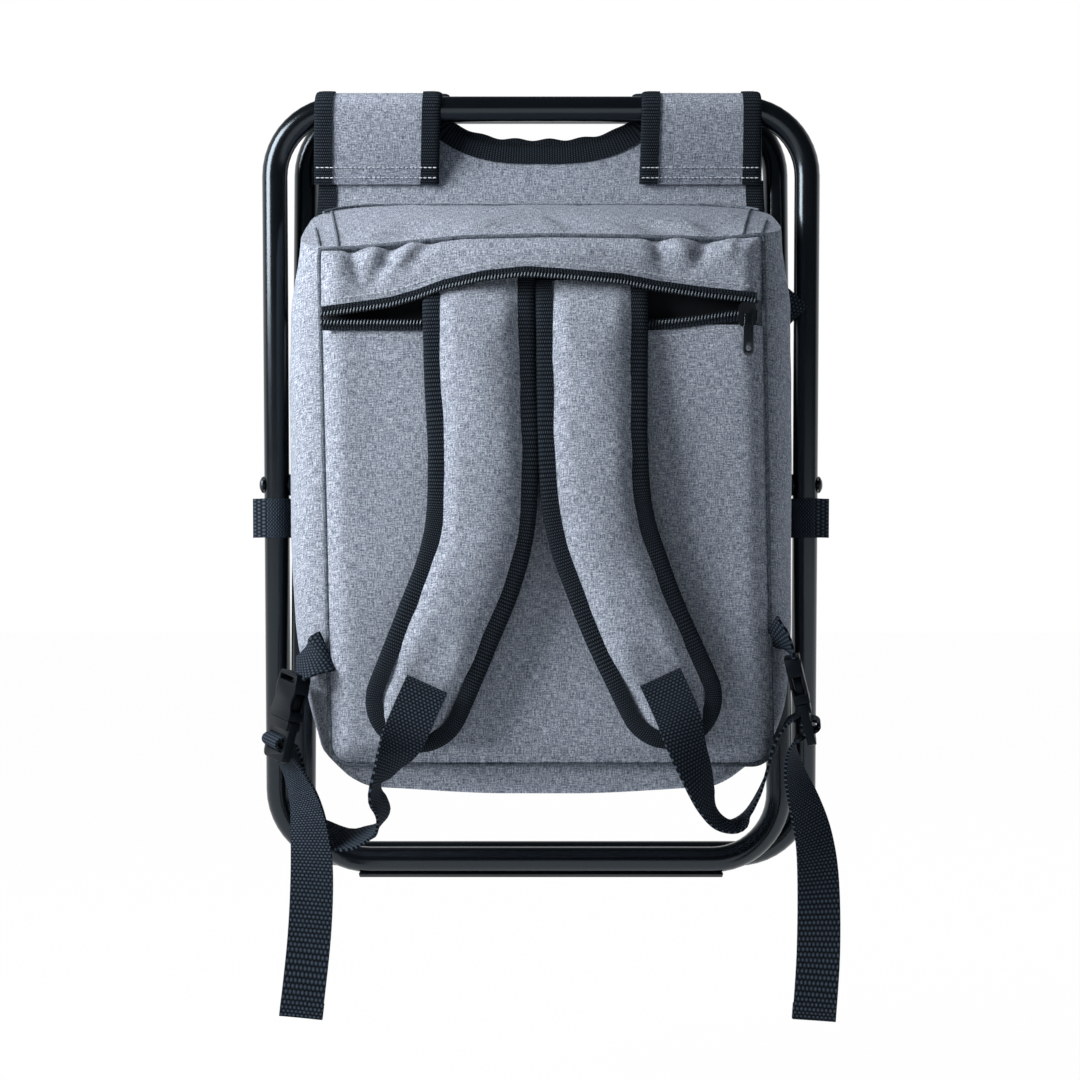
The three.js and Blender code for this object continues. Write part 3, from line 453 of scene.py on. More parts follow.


# %% [markdown]
# The loose adjuster straps come off the shoulder pads, loop below the bag and go up to the buckles. The tails hang
# from the buckles, and short tethers sew the sockets to the bag. A station is a place and the way the width lies.
# Each buckle hangs at a point, with a way along it and a way that it faces. A rope simulation would not come to rest
# in the wanted lie, so the stations are listed.
# %% Strap routes
WEB = -139.2
routes = {
    "left": {
        "hang": (-141.5, -112, -349.5),
        "along": (-0.225, -0.02, -0.974),
        "face": (-0.85, -0.53, 0.1),
        "webbing": [
            ((-64, WEB, -354), (0.93, 0, -0.36)), ((-69, WEB, -365), (0.93, 0, -0.36)),
            ((-74.2, WEB - 1.5, -377), (0.93, 0.05, -0.36)), ((-79.5, WEB - 2, -388.5), (0.85, 0.45, -0.3)),
            ((-86, WEB - 2, -399), (0.5, 0.84, -0.2)), ((-91.5, WEB - 2, -410), (0.2, 0.97, -0.1)),
            ((-92.6, -137, -417.5), (0.1, 0.99, 0.1)), ((-90.8, -132, -426), (0.12, 0.98, 0.1)),
            ((-91.5, -124.5, -434.5), (0.15, 0.97, 0.15)), ((-97.5, -118, -441.5), (0.2, 0.95, 0.25)),
            ((-107, -111, -445.5), (0.1, 0.95, 0.3)), ((-118, -102.5, -446), (0.1, 0.96, 0.25)),
            ((-131, -98.5, -440), (0, 0.95, 0.3)), ((-139, -97, -427.5), (-0.2, 0.95, 0.2)),
            ((-142, -99.5, -415.5), (-0.35, 0.92, 0.2)), ((-143, -103, -405.5), (-0.45, 0.88, 0.17)),
            ((-143.8, -106.5, -398.5), (-0.52, 0.84, 0.16)), ((-146.5, -110.3, -388.9), (-0.52, 0.84, 0.16)),
        ],
        "tail": [
            ((-149, -111.2, -393.5), (0.52, -0.84, -0.16)), ((-147.5, -111.5, -400), (0.54, -0.83, -0.1)),
            ((-142, -112.8, -410), (0.62, -0.78, 0)), ((-136.5, -114, -423), (0.74, -0.66, 0.1)),
            ((-133.3, -115, -442), (0.9, -0.4, 0)), ((-132.3, -113.5, -468), (0.98, -0.15, 0)),
            ((-134.5, -109, -505), (1, 0, 0)), ((-140, -104, -551), (1, 0.05, 0)),
        ],
        "tether": [
            ((-123, -111.5, -336.5), (0.15, 0.25, -0.95)), ((-127.5, -113.8, -339.5), (0.33, -0.5, -0.8)),
            ((-132.5, -114.2, -342.5), (0.45, -0.75, -0.48)), ((-137.5, -113.2, -345.8), (0.52, -0.82, -0.25)),
            ((-141.2, -112, -348.3), (0.52, -0.84, -0.16)),
        ],
    },
    "right": {
        "hang": (144.5, -113, -340),
        "along": (0.236, 0.02, -0.971),
        "face": (0.97, -0.15, 0.2),
        "webbing": [
            ((67, WEB, -350), (0.92, 0, 0.38)), ((72.5, WEB, -362), (0.93, 0, 0.36)),
            ((77.6, WEB - 0.4, -374), (0.93, 0.15, 0.3)), ((82.3, WEB - 0.5, -390), (0.82, 0.5, 0.25)),
            ((88.2, WEB, -406), (0.66, 0.7, 0.25)), ((94, -134, -420), (0.46, 0.87, 0.2)),
            ((101, -126.5, -430), (0.26, 0.95, 0.1)), ((110.5, -118, -434.5), (0.14, 0.99, 0)),
            ((119, -114, -430), (0.1, 0.99, 0)), ((126.3, -111.5, -418.5), (0.12, 0.99, 0)),
            ((131.8, -110.5, -404), (0.2, 0.97, 0)), ((137.3, -109.5, -388.5), (0.25, 0.96, 0.05)),
            ((144.1, -108.8, -377.3), (0.142, 0.989, 0.055)), ((150, -111.1, -375.7), (0.142, 0.989, 0.055)),
        ],
        "tail": [
            ((152.8, -110.9, -387.3), (0.142, 0.989, 0.055)), ((148.3, -109.1, -388.4), (0.142, 0.989, 0.055)),
            ((145.8, -110, -396.5), (0.35, 0.93, 0)), ((147.2, -111.5, -410), (0.6, 0.8, 0)),
            ((152, -111.5, -425), (0.78, 0.62, 0)), ((158, -110, -446), (0.9, 0.44, 0)),
            ((160.5, -110, -472), (0.98, 0.2, 0)), ((160.5, -110, -512), (1, 0, 0)),
            ((158, -110, -551), (1, 0, 0)),
        ],
        "tether": [
            ((131.5, -111.5, -324.5), (0.1, 0.35, -0.93)), ((135.5, -113.6, -329), (0.05, 0.65, -0.75)),
            ((140.2, -113.8, -334.3), (0.08, 0.9, -0.42)), ((144.2, -113, -338.8), (0.142, 0.989, 0.055)),
        ],
    },
}
side_tab = [
    ((141, -66, -125), (-0.45, 0, -0.89)), ((147, -66, -130), (-0.5, 0, -0.87)), ((155, -66, -138), (-0.6, 0, -0.8)),
]
print("routes:", {side: len(route["webbing"]) for side, route in routes.items()})


def buckle_axes(route):
    """The ways across a buckle, out of its face and down it."""
    down = Vector(route["along"]).normalized()
    out = Vector(route["face"])
    out = (out - down * out.dot(down)).normalized()
    return out.cross(down).normalized(), out, down


# %% [markdown]
# When a plug leaves its socket, the tail goes with the plug, and the adjuster rides on no body.
# The webbing turns round the bars of the plug, and the end of the tail is hemmed.
# %% Loose straps
WIDE, THICK = 25, 1.6
HEM_FROM, HEM_OFF = 0.962, -1.5
turn_section = [
    (-3.6, 41), (-3.2, 38.6), (-1, 37.7), (1.6, 37.7), (4.4, 38.2), (6.4, 40.2),
    (6.2, 42.6), (4, 44.3), (1, 44.5), (-2, 44.5), (-3.6, 45.6),
]


def hang(piece, length):
    print(piece.name, "length", round(length, 3))


dress(strap("side_tab_right", side_tab, 16, 2.4, 8)[0], webbing, "bag", "binding")
for side, route in routes.items():
    plug = f"buckle_{side}"
    loop, path, length = strap(f"adjuster_{side}", route["webbing"], WIDE, THICK, 66, cup=0.8)
    dress(loop, webbing, None, "binding", f"strap_webbing_{side}")
    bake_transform(loop)
    hang(loop, length)
    tail, path, length = strap(f"tail_{side}", route["tail"], WIDE, THICK, 40, cup=1.0)
    dress(tail, webbing, plug, "binding", f"strap_tail_{side}")
    hang(tail, length)
    places = [place for place, _ in route["tail"]]
    hem = []
    for at in spread(HEM_FROM, 1.0, 4):
        here = route_point(places, at)
        face = (here - route_point(places, at - 0.02)).cross(Vector((1, 0, 0))).normalized()
        hem.append((here + face * HEM_OFF, (1, 0, 0)))
    dress(strap(f"tail_hem_{side}", hem, 25.4, 1.5, 8)[0], webbing, plug, "binding")
    wide, out, down = buckle_axes(route)
    turn = [(Vector(route["hang"]) + down * s + out * reach, wide) for reach, s in turn_section]
    dress(strap(f"turn_{side}", turn, 20, 1.5, 24)[0], webbing, plug, "binding")
    tether = strap(f"tether_{side}", route["tether"], WIDE, THICK, 14)[0]
    dress(tether, webbing, "bag", "binding", f"buckle_tether_{side}")

# %% [markdown]
# The frame is two loops of bent tube. A closed curve with a round bevel gives clean bends. The rivets, washers, foot
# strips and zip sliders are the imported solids, given a finish. A profile could be extruded round the bends, but the
# curve needs only eight points.
# %% Frame loops
PIVOT_Z = -237.746
LEAN = math.asin(11 / 238)
TUBE_R, BEND, STRAIGHT = 8, 42.5, 80
ROUND = BEND * 0.5523


def tube_loop(name, half, up, down, lean):
    bpy.ops.curve.primitive_bezier_circle_add(radius=0.1)
    loop = bpy.context.object
    loop.name = name
    line = loop.data.splines[0]
    line.bezier_points.add(4)
    side, top, low = half - BEND, up - BEND, BEND - down
    corners = [
        (half, top, 0, 1), (side, up, -1, 0), (-side, up, -1, 0), (-half, top, 0, -1),
        (-half, low, 0, -1), (-side, -down, 1, 0), (side, -down, 1, 0), (half, low, 0, 1),
    ]

    def spot_at(x, z):
        return Vector((x, -z * math.sin(lean), PIVOT_Z + z * math.cos(lean))) * MM

    for i, (point, (x, z, dx, dz)) in enumerate(zip(line.bezier_points, corners)):
        before, after = (STRAIGHT, ROUND) if i % 2 == 0 else (ROUND, STRAIGHT)
        point.handle_left_type = point.handle_right_type = "FREE"
        point.co = spot_at(x, z)
        point.handle_left = spot_at(x - dx * before, z - dz * before)
        point.handle_right = spot_at(x + dx * after, z + dz * after)
    loop.data.dimensions = "3D"
    loop.data.resolution_u = 12
    loop.data.bevel_depth = TUBE_R * MM
    loop.data.bevel_resolution = 10
    bpy.ops.object.convert(target="MESH")
    return bpy.context.object


dress(tube_loop("outer_tube", 169, 238, 238, LEAN), coat, "outer_frame", "tube", "outer_frame")
dress(tube_loop("inner_tube", 151, 242, 238, -LEAN), coat, "inner_frame", "tube", "inner_frame")
for name in ("pivot_rivet_left", "pivot_rivet_right", "pocket_slider", "lid_slider"):
    paint(nodes[name], dark_steel)
for name in ("pivot_washer_left", "pivot_washer_right", "front_foot_strip", "rear_foot_strip"):
    paint(nodes[name], moulded)

# %% [markdown]
# Raw cloth edges are bound with folded grosgrain tape. In section the tape is a U round the edge, swept along the
# edge with an inward direction and a face normal at each point. A painted stripe would lack the fine shadow along the
# tape's edge.
# %% Sewing helpers
U_SECTION = [
    (1, 1), (0.7, 1.06), (0.35, 1.06), (0.08, 0.9), (-0.06, 0.45), (-0.09, 0),
    (-0.06, -0.45), (0.08, -0.9), (0.35, -1), (0.7, -1), (1, -1),
]


def binding(name, stations, reach, half, body):
    """stations: (edge point, inward direction, face normal)"""
    last, steps = len(U_SECTION) - 1, len(stations) - 1
    length = sum((Vector(b[0]) - Vector(a[0])).length for a, b in zip(stations, stations[1:]))

    def place(u, v):
        edge, inward, face = stations[round(v * steps)]
        s, h = U_SECTION[round(u * last)]
        return Vector(edge) + Vector(inward).normalized() * (s * reach) + Vector(face).normalized() * (h * half)

    piece = panel(name, last, steps, place, (2.4 * reach * MM, length * MM))
    dress(thicken(piece, 0.5), tape, body, "binding")


# %% [markdown]
# Piped seams, the crease and the coil of a closed zip are round cords. A line of points with a bevel is the simplest
# way to make one. It becomes a mesh, so that it can ride on a body like every other piece.
# %% Cord helper
def cord_line(name, points, radius, resolution=3, closed=False):
    bpy.ops.curve.primitive_nurbs_path_add()
    line = bpy.context.object
    line.name = name
    line.data.splines.clear()
    run = line.data.splines.new("POLY")
    run.points.add(len(points) - 1)
    for point, at in zip(run.points, points):
        point.co = (*(Vector(at) * MM), 1)
    run.use_cyclic_u = closed
    line.data.bevel_depth = radius * MM
    line.data.bevel_resolution = resolution
    line.data.use_fill_caps = True
    bpy.ops.object.convert(target="MESH")
    return bpy.context.object


# %% [markdown]
# A row of stitches is many short threads. Each is a small stretched bead. A row is one mesh, because hundreds of
# separate objects would slow the scene.
# %% Stitch helpers
def stitches(name, places, facing, long, thick):
    """One short thread per place: (middle, direction)."""
    bpy.ops.mesh.primitive_uv_sphere_add(segments=6, ring_count=5, radius=0.5)
    bead = bpy.context.object
    shape = [v.co.copy() for v in bead.data.vertices]
    loops = [list(p.vertices) for p in bead.data.polygons]
    bpy.data.objects.remove(bead)
    out = Vector(facing).normalized()
    points, faces = [], []
    for middle, way in places:
        way = Vector(way).normalized()
        side = way.cross(out).normalized()
        base = len(points)
        for c in shape:
            points.append((Vector(middle) + way * (c.z * long) + side * (c.x * thick) + out * (c.y * thick)) * MM)
        faces += [[base + i for i in loop] for loop in loops]
    mesh = bpy.data.meshes.new(name)
    mesh.from_pydata(points, [], faces)
    row = bpy.data.objects.new(name, mesh)
    bpy.context.collection.objects.link(row)
    return row


def row_of(points, pitch):
    """Places and directions spaced along a line of points."""
    made, carried = [], 0.0
    for a, b in zip(points, points[1:]):
        a, b = Vector(a), Vector(b)
        step = (b - a).length
        while carried < step:
            made.append((a + (b - a) * (carried / step), b - a))
            carried += pitch
        carried -= step
    return made


# %% [markdown]
# The sling ends in two tabs on each bar. Between them the cloth is scooped out and bound, for the hand. Each end is
# drawn once about its bar and used for the front and, turned round, for the rear. A cylinder and a plane could be
# joined there. One band that leaves the bar at a tangent has no joint.
# %% Sling ends
TAB_R, LEAVE = 9.4, math.radians(199)
TAB_TAPE, TAB_FOOT = 10.5, -46.0
LAID_Y, LAID_Z = -0.94, -0.33
SCOOP_HALF, SCOOP_TOP = 58.5, -8.8


def sling_end(kind, body, bar_y, bar_z, facing, tabs, scoop_z, wavy):
    def lay(x, y, z):
        return Vector((x, bar_y + facing * y, bar_z + z))

    def turned(y, z):
        return Vector((0, facing * y, z))

    foot_y = abs(bar_y) - 4.0
    leave_y, leave_z = TAB_R * math.cos(LEAVE), TAB_R * math.sin(LEAVE)
    arc, straight = TAB_R * LEAVE, math.hypot(foot_y - leave_y, TAB_FOOT - leave_z)

    def band(t):
        """A place down the tab and the way it faces: round the bar, then straight to the foot."""
        s = t * (arc + straight)
        if s < arc:
            a = s / TAB_R
            return (TAB_R * math.cos(a), TAB_R * math.sin(a)), (math.cos(a), math.sin(a))
        k = (s - arc) / straight
        puff = 1.2 * math.sin(math.pi * k)
        y, z = mix(leave_y, foot_y, k), mix(leave_z, TAB_FOOT, k)
        return (y + puff * LAID_Y, z + puff * LAID_Z), (LAID_Y, LAID_Z)

    for side, (top_out, top_in, low_out, low_in) in tabs.items():
        def place(u, v):
            (y, z), (ny, nz) = band(v)
            x = mix(mix(top_out, top_in, u), mix(low_out, low_in, u), v)
            lift = max(0.0, rumple(x, 0, z, 16, 0.5)) * ease(v * 2)
            return lay(x, y + ny * lift, z + nz * lift)

        tab = thicken(panel(f"tab_cloth_{kind}_{side}", 16, 30, place), 1.4)
        dress(tab, cloth, body, "cloth", f"{kind}_tab_{side}")
        for edge, top_x, low_x, inward in (
            ("outer", top_out, low_out, top_in - top_out), ("inner", top_in, low_in, top_out - top_in),
        ):
            stations = []
            for t in spread(0, 1, 40):
                (y, z), normal = band(t)
                stations.append((lay(mix(top_x, low_x, t), y, z), (inward, 0, 0), turned(*normal)))
            binding(f"{kind}_tab_{side}_{edge}_tape", stations, TAB_TAPE, 1.5, body)
        bold, light = [], []
        for height in (0.862, 0.945):
            (y, z), (ny, nz) = band(height)
            ends = mix(top_out, low_out, height), mix(top_in, low_in, height)
            for k in range(26):
                x = mix(*ends, (k + 0.5) / 26)
                on_tape = min(abs(x - ends[0]), abs(x - ends[1])) < TAB_TAPE
                lift = 2.15 if on_tape else 1.3
                (bold if on_tape else light).append((lay(x, y + ny * lift, z + nz * lift), (1, 0, 0)))
        face = turned(LAID_Y, LAID_Z)
        dress(stitches(f"{kind}_tab_{side}_bold_thread", bold, face, 2.6, 0.8), thread, body, "cloth")
        dress(stitches(f"{kind}_tab_{side}_thread", light, face, 2.3, 0.7), pale_thread, body, "cloth")

    def scoop(x):
        share = min(1.0, abs(x) / SCOOP_HALF)
        rise = max(0.0, abs(x) - SCOOP_HALF) * 1.5
        wave = 0.8 * math.sin(x / 3.4) * (1 - share**4) if wavy else 0
        return mix(scoop_z, SCOOP_TOP, share**3.2) + rise + wave

    return scoop


REAR_BAR = 3.996
front_scoop = sling_end(
    "front", "seat_front", -11, 0, 1,
    {"left": (-140, -63, -143.5, -66.3), "right": (137, 65, 138.6, 63.7)}, -22.3, False,
)
rear_scoop = sling_end(
    "rear", "rear_sleeve", 11.185, REAR_BAR, -1,
    {"left": (-112, -60, -113, -60), "right": (112, 60, 113, 60)}, -21.5, True,
)

# %% [markdown]
# The sling itself is one sheet that hangs from the front bar, folds at the crease and goes up to the rear bar. Each
# part of it follows its own body. It could be simulated, but where it hangs is known, so it is drawn with a little
# noise.
# %% Sling sheets
CREASE, FRONT_TOP, FRONT_HALF = -132.8, -1.0, 141
REAR_HALF, REAR_Y = 134, 1.3
SHEET, HOLE = 1.3, 65


def seat_half(z):
    return through([(-133, 156), (-110, 149), (-60, 146), (-47, 145), (0, FRONT_HALF)], z)


def front_sheet(u, v):
    s = u * 2 - 1
    x_top = s * FRONT_HALF
    top = min(front_scoop(x_top), FRONT_TOP) if abs(x_top) < HOLE else FRONT_TOP
    z = mix(CREASE, top, v)
    x = s * mix(seat_half(z), FRONT_HALF, ease(v * 1.4))
    y = -1.4 - 5.0 * ease((abs(x) - 138) / 16) * ease((-70 - z) / 40)
    return x, y + rumple(x, 0, z, 24, 0.5) * (1 - v * 0.5), z


def scoop_edge(scoop, y, base, count):
    edge = []
    for x in spread(-64, 64, count):
        slope = (scoop(x + 0.5) - scoop(x - 0.5)) if abs(x) > 12 else 0
        edge.append(((x, y, base + scoop(x)), (slope, 0, -1), (0, -1, 0)))
    return edge


sheet = thicken(panel("sling_front", 96, 36, front_sheet), SHEET)
dress(sheet, cloth, "seat_front", "cloth", "seat_front_half")
binding("hand_hole_tape", scoop_edge(front_scoop, -1.4, 0, 80), 10.5, 1.4, "seat_front")
for side, name in SIDES:
    stations = []
    for z in spread(-43.5, -132.5, 30):
        at = front_sheet(0.5 + side * 0.5, (z - CREASE) / (FRONT_TOP - CREASE))
        stations.append((at, (-side, 0, 0), (0, -1, 0)))
    binding(f"sling_{name}_tape", stations, 10.5, 1.4, "seat_front")


# %% [markdown]
# Behind the crease the sling goes up again, and its end hangs from the rear bar. It is made as two pieces, since they
# turn on different bodies when the stool is unfolded.
# %% Rear of the sling
def rear_sheet(u, v):
    x = (u * 2 - 1) * REAR_HALF
    z = mix(CREASE, -43.4, v)
    return x, REAR_Y + rumple(x, 9, z, 24, 0.4), z


def rear_end(u, v):
    x = (u * 2 - 1) * REAR_HALF
    top = REAR_BAR + min(rear_scoop(x), -1.4) if abs(x) < HOLE else 2.6
    z = mix(-43.0, top, v)
    return x, REAR_Y + rumple(x, 9, z, 24, 0.3), z


rear = thicken(panel("sling_rear", 60, 24, rear_sheet), SHEET)
dress(rear, cloth, "seat_rear", "cloth", "seat_rear_half")
back = thicken(panel("sling_rear_end", 96, 16, rear_end), SHEET)
dress(back, cloth, "rear_sleeve", "cloth", "seat_rear_end")
fold_line = [(x, -0.2, -132.4) for x in spread(-REAR_HALF, REAR_HALF, 40)]
dress(cord_line("sling_crease", fold_line, 1.9), cloth, "seat_front", "cloth")
for side, name in SIDES:
    for kind, body, low, high in (("rear", "seat_rear", -132, -43.8), ("rear_end", "rear_sleeve", -42.8, 2)):
        stations = [((side * 134.4, REAR_Y, z), (-side, 0, 0), (0, 1, 0)) for z in spread(low, high, 24)]
        binding(f"sling_{kind}_{name}_tape", stations, 10, 1.3, body)
binding("rear_hand_hole_tape", scoop_edge(rear_scoop, REAR_Y, REAR_BAR, 110), 9, 1.4, "rear_sleeve")

# %% [markdown]
# The cooler bag is a box of padded cloth with a sloping top and tucked bottom corners. It is lofted from rounded
# rings, and its sides are given the wrinkles that foam-backed cloth has. On the right it draws in later than on the
# left. A cube with bevels could not change its corners on the way down.
# %% Bag shape
BAG_HALF, BACK_R, FRONT_R, BACK_LEAN = 147.5, 40, 26, 17
FRONT, BACK_TOP, TOP, BOTTOM = -109.0, -3.0, -60.0, -421.0
seam_top = [
    (-128, -105.5), (-103, -104.5), (-70, -101), (-44, -98.5), (3, -97.5), (47, -98), (104, -99.5), (127, -97),
]


def bag_top(x, y):
    """The height of the top panel: it falls to the front seam."""
    return mix(TOP, through(seam_top, x) + 1.2, (BACK_TOP - y) / (BACK_TOP - FRONT))


def waist(share, start):
    return 1 - 0.14 * max(0.0, (share - start) / (1 - start)) ** 2


def bag_half(share):
    return BAG_HALF * min(1.0, 0.965 + share * 0.25, waist(share, 0.6))


def bag_ring(share):
    tuck = 0 if share < 0.955 else 9 * ((share - 0.955) / 0.045) ** 2
    half = bag_half(share) - tuck
    front, back = FRONT + tuck, BACK_TOP - BACK_LEAN * share - tuck * 0.2
    corners = [
        (half - BACK_R, back - BACK_R, BACK_R), (-half + BACK_R, back - BACK_R, BACK_R),
        (-half + FRONT_R, front + FRONT_R, FRONT_R), (half - FRONT_R, front + FRONT_R, FRONT_R),
    ]
    ring = []
    for quarter, (x, y, r) in enumerate(corners):
        for a in spread(quarter * math.pi / 2, (quarter + 1) * math.pi / 2, 8):
            ring.append(Vector((x + r * math.cos(a), y + r * math.sin(a), 0)))
    ring.append(ring[0])
    steps = [0.0]
    for a, b in zip(ring, ring[1:]):
        steps.append(steps[-1] + (b - a).length)
    return ring, steps


ring_cache = {}


def bag_at(around, share):
    key = round(share, 4)
    if key not in ring_cache:
        ring_cache[key] = bag_ring(share)
    ring, steps = ring_cache[key]
    target = (around % 1.0) * steps[-1]
    for i in range(len(steps) - 1):
        if target <= steps[i + 1]:
            break
    gap = steps[i + 1] - steps[i]
    flat_point = ring[i].lerp(ring[i + 1], (target - steps[i]) / gap if gap else 0)
    if flat_point.x > 0:
        flat_point.x *= waist(share, 0.8) / waist(share, 0.6)
    top = bag_top(flat_point.x, flat_point.y)
    low = BOTTOM + 4 * ease((abs(flat_point.x) - 20) / 95) + 9 * ease((abs(flat_point.x) - 96) / 34)
    return Vector((flat_point.x, flat_point.y, mix(top, low, share)))


# %% [markdown]
# The skin of the bag is the bottom, the sides and the top in one sheet. Separate panels would need matching edges,
# and the seams can be laid on later as cords. The dents of the top are soft grooves, placed one by one.
# %% Bag body
top_dents = [
    (-112, 0.1, 6, -2.6), (-100, -0.2, 6, 2.2), (-88, 0.3, 5, -2.2), (-72, -0.1, 6, -1.6), (-40, 0.2, 9, 1.2),
    (20, -0.2, 9, -1.0), (64, 0.1, 6, -1.8), (88, -0.2, 5, 2.0), (100, 0.2, 6, -2.4), (116, -0.1, 5, 1.8),
]


def top_dent(x, y):
    near = ease((-52 - y) / 40) * (1 - ease((-98 - y) / 12) * 0.6)
    total = 0.0
    for px, lean, wide, deep in top_dents:
        total += deep * math.exp(-(((x - px - lean * (y + 108)) / wide) ** 2))
    return total * near * 1.7


CAP = 0.10


def bag_skin(u, v):
    around = u if u < 0.9999 else 0.0
    if v < CAP:
        edge = bag_at(around, 1.0)
        r = ease(v / CAP) ** 0.7
        return edge.x * r, mix(-60, edge.y, r), edge.z - 1.5 * (1 - r * r)
    if v > 1 - CAP:
        edge = bag_at(around, 0.0)
        r = ((1 - v) / CAP) ** 0.8
        x, y = edge.x * r, mix(-55, edge.y, r)
        plane = bag_top(x, y)
        return x, y, plane + (3.5 + top_dent(x, y)) * (1 - r**5) + rumple(x, y, plane, 22, 1.2) * (1 - r**6)
    share = 1 - (v - CAP) / (1 - 2 * CAP)
    point = bag_at(around, share)
    if point.y < -30:
        out = Vector((point.x / 150, (point.y + 60) / 60, 0)).normalized()
        point += out * rumple(point.x, point.y, point.z, 34, 1.6)
        bulge = 2.0 * math.sin(math.pi * share) * ease((abs(point.x) - 100) / 40) * 0.3
        point.x += math.copysign(bulge, point.x)
    return point


# %% [markdown]
# The bag is swollen by what it is padded with, except at its seams and where other layers lie on it. Then the faces
# behind the lid are deleted, because the cooler opens there. A boolean would cut a cleaner edge, but tape covers it.
# %% Filling and mouth
def bag_held(at):
    """The seams, the front under the pocket and the back under the frame don't move."""
    rim = at.z > bag_top(at.x, at.y) - 1 and (abs(at.x) > 128 or at.y > -12 or at.y < -100)
    return rim or at.y > -34 and at.z < -75 or at.y < -104 or at.z < -405


MOUTH_HALF, MOUTH_LOW, MOUTH_HIGH, MOUTH_R = 117.0, -395.0, -151.0, 24.0


def in_mouth(at):
    x = abs(at.x) - (MOUTH_HALF - MOUTH_R)
    z = abs(at.z - (MOUTH_LOW + MOUTH_HIGH) / 2) - ((MOUTH_HIGH - MOUTH_LOW) / 2 - MOUTH_R)
    return max(x, z) < 0 or max(x, z) < MOUTH_R and (min(x, z) < 0 or math.hypot(x, z) < MOUTH_R)


bag = panel("bag_body", 200, 110, bag_skin, closed=True)
swell(bag, bag_held, 2.5, 3.0, 12)
bpy.ops.object.mode_set(mode="EDIT")
bpy.ops.mesh.select_all(action="DESELECT")
bpy.ops.mesh.select_mode(type="FACE")
bpy.ops.object.mode_set(mode="OBJECT")
for flap in bag.data.polygons:
    flap.select = flap.normal.y > 0.6 and in_mouth(flap.center / MM)
bpy.ops.object.mode_set(mode="EDIT")
bpy.ops.mesh.delete(type="FACE")
bpy.ops.object.mode_set(mode="OBJECT")
dress(bag, cloth, "bag", "cloth", "bag_shell", "bag_insulation")

# %% [markdown]
# The strap pocket is a second layer on the front: a header above the zip and the pocket's face below it. Both turn
# back at their seam, and the header lifts in the middle where the straps come out.
# %% Pocket panels
FACE, CORNER, POCKET_LOW, ZIP_LOW, SEAM_HALF = -118.0, 11.0, -402, -149.5, 128
mouth_top = [
    (-128, -142.6), (-107, -139.8), (-87, -137), (-72, -133), (-55.6, -127.4), (-32, -122.5), (-8.6, -120.2),
    (11, -121.4), (23, -122.5), (46.5, -124.2), (65, -127.4), (93, -131), (126, -134.5),
]


def pocket_half(z, side=-1):
    """The left edge draws in towards the bottom and the right edge runs out."""
    return mix(121 if side < 0 else 133, SEAM_HALF, (z - POCKET_LOW) / 302)


def pocket_face(u, v):
    s = u * 2 - 1
    z = mix(POCKET_LOW, ZIP_LOW, v)
    half = pocket_half(z, s)
    drop = z - POCKET_LOW
    if drop < CORNER:
        half -= CORNER - math.sqrt(CORNER**2 - (CORNER - drop) ** 2)
    x = s * half
    turn = min((1 - abs(s)) * half, drop, 14) / 14
    y = FACE + 8.5 * (1 - turn) ** 2.2
    crown = 2.2 * (1 - s * s) * math.sin(math.pi * min(1, drop / 250) * 0.5)
    return x, y + crown * 0.4 + rumple(x, 3, z, 46, 1.1) * turn + rumple(x, 7, z, 18, 0.4) * turn, z


# %% [markdown]
# The header is gathered at its seam, and short dents run down from it. They are a list of soft grooves, which can be
# placed one by one. A simulation would put them anywhere.
# %% Pocket header
def puckers(x, z, places):
    """Short dents that run down from a gathered seam: (x, z, lean, width, depth, length)."""
    total = 0.0
    for px, pz, lean, wide, deep, long in places:
        down = pz - z
        if -6 < down < long:
            fade = ease((down + 6) / 9) * (1 - ease(down / long))
            total += deep * fade * math.exp(-(((x - px - lean * down) / wide) ** 2))
    return total


header_dents = [
    (-110, -104, 0.25, 4.5, 3.0, 34), (-99, -103, 0.5, 5, -1.8, 26), (-84, -102, -0.5, 6, 3.4, 36),
    (-74, -101, -0.7, 5, -2.0, 30), (-62, -100, -0.8, 5, 1.8, 24), (66, -98, 0.2, 5, 2.8, 28),
    (78, -98, 0.5, 5, -1.8, 24), (96, -98.5, -0.4, 5, 3.2, 26), (110, -98, -0.2, 4, -1.6, 20),
]


def header_lift(x):
    return 7.0 * math.exp(-((x + 3) / 62) ** 4)


def pocket_header(u, v):
    s = u * 2 - 1
    x = s * SEAM_HALF
    low, high = through(mouth_top, x), through(seam_top, x)
    z = mix(low, high, v)
    side = min((1 - abs(s)) * SEAM_HALF, 12) / 12
    turn = min(side, max(min((high - z) / 9, 1), 0))
    y = FACE + 9.0 * (1 - turn) ** 2
    lift = header_lift(x) * (1 - v) ** 0.8
    return x, y - lift * turn + rumple(x, 5, z, 26, 1.2) * turn + puckers(x, z, header_dents) * side * 1.5, z
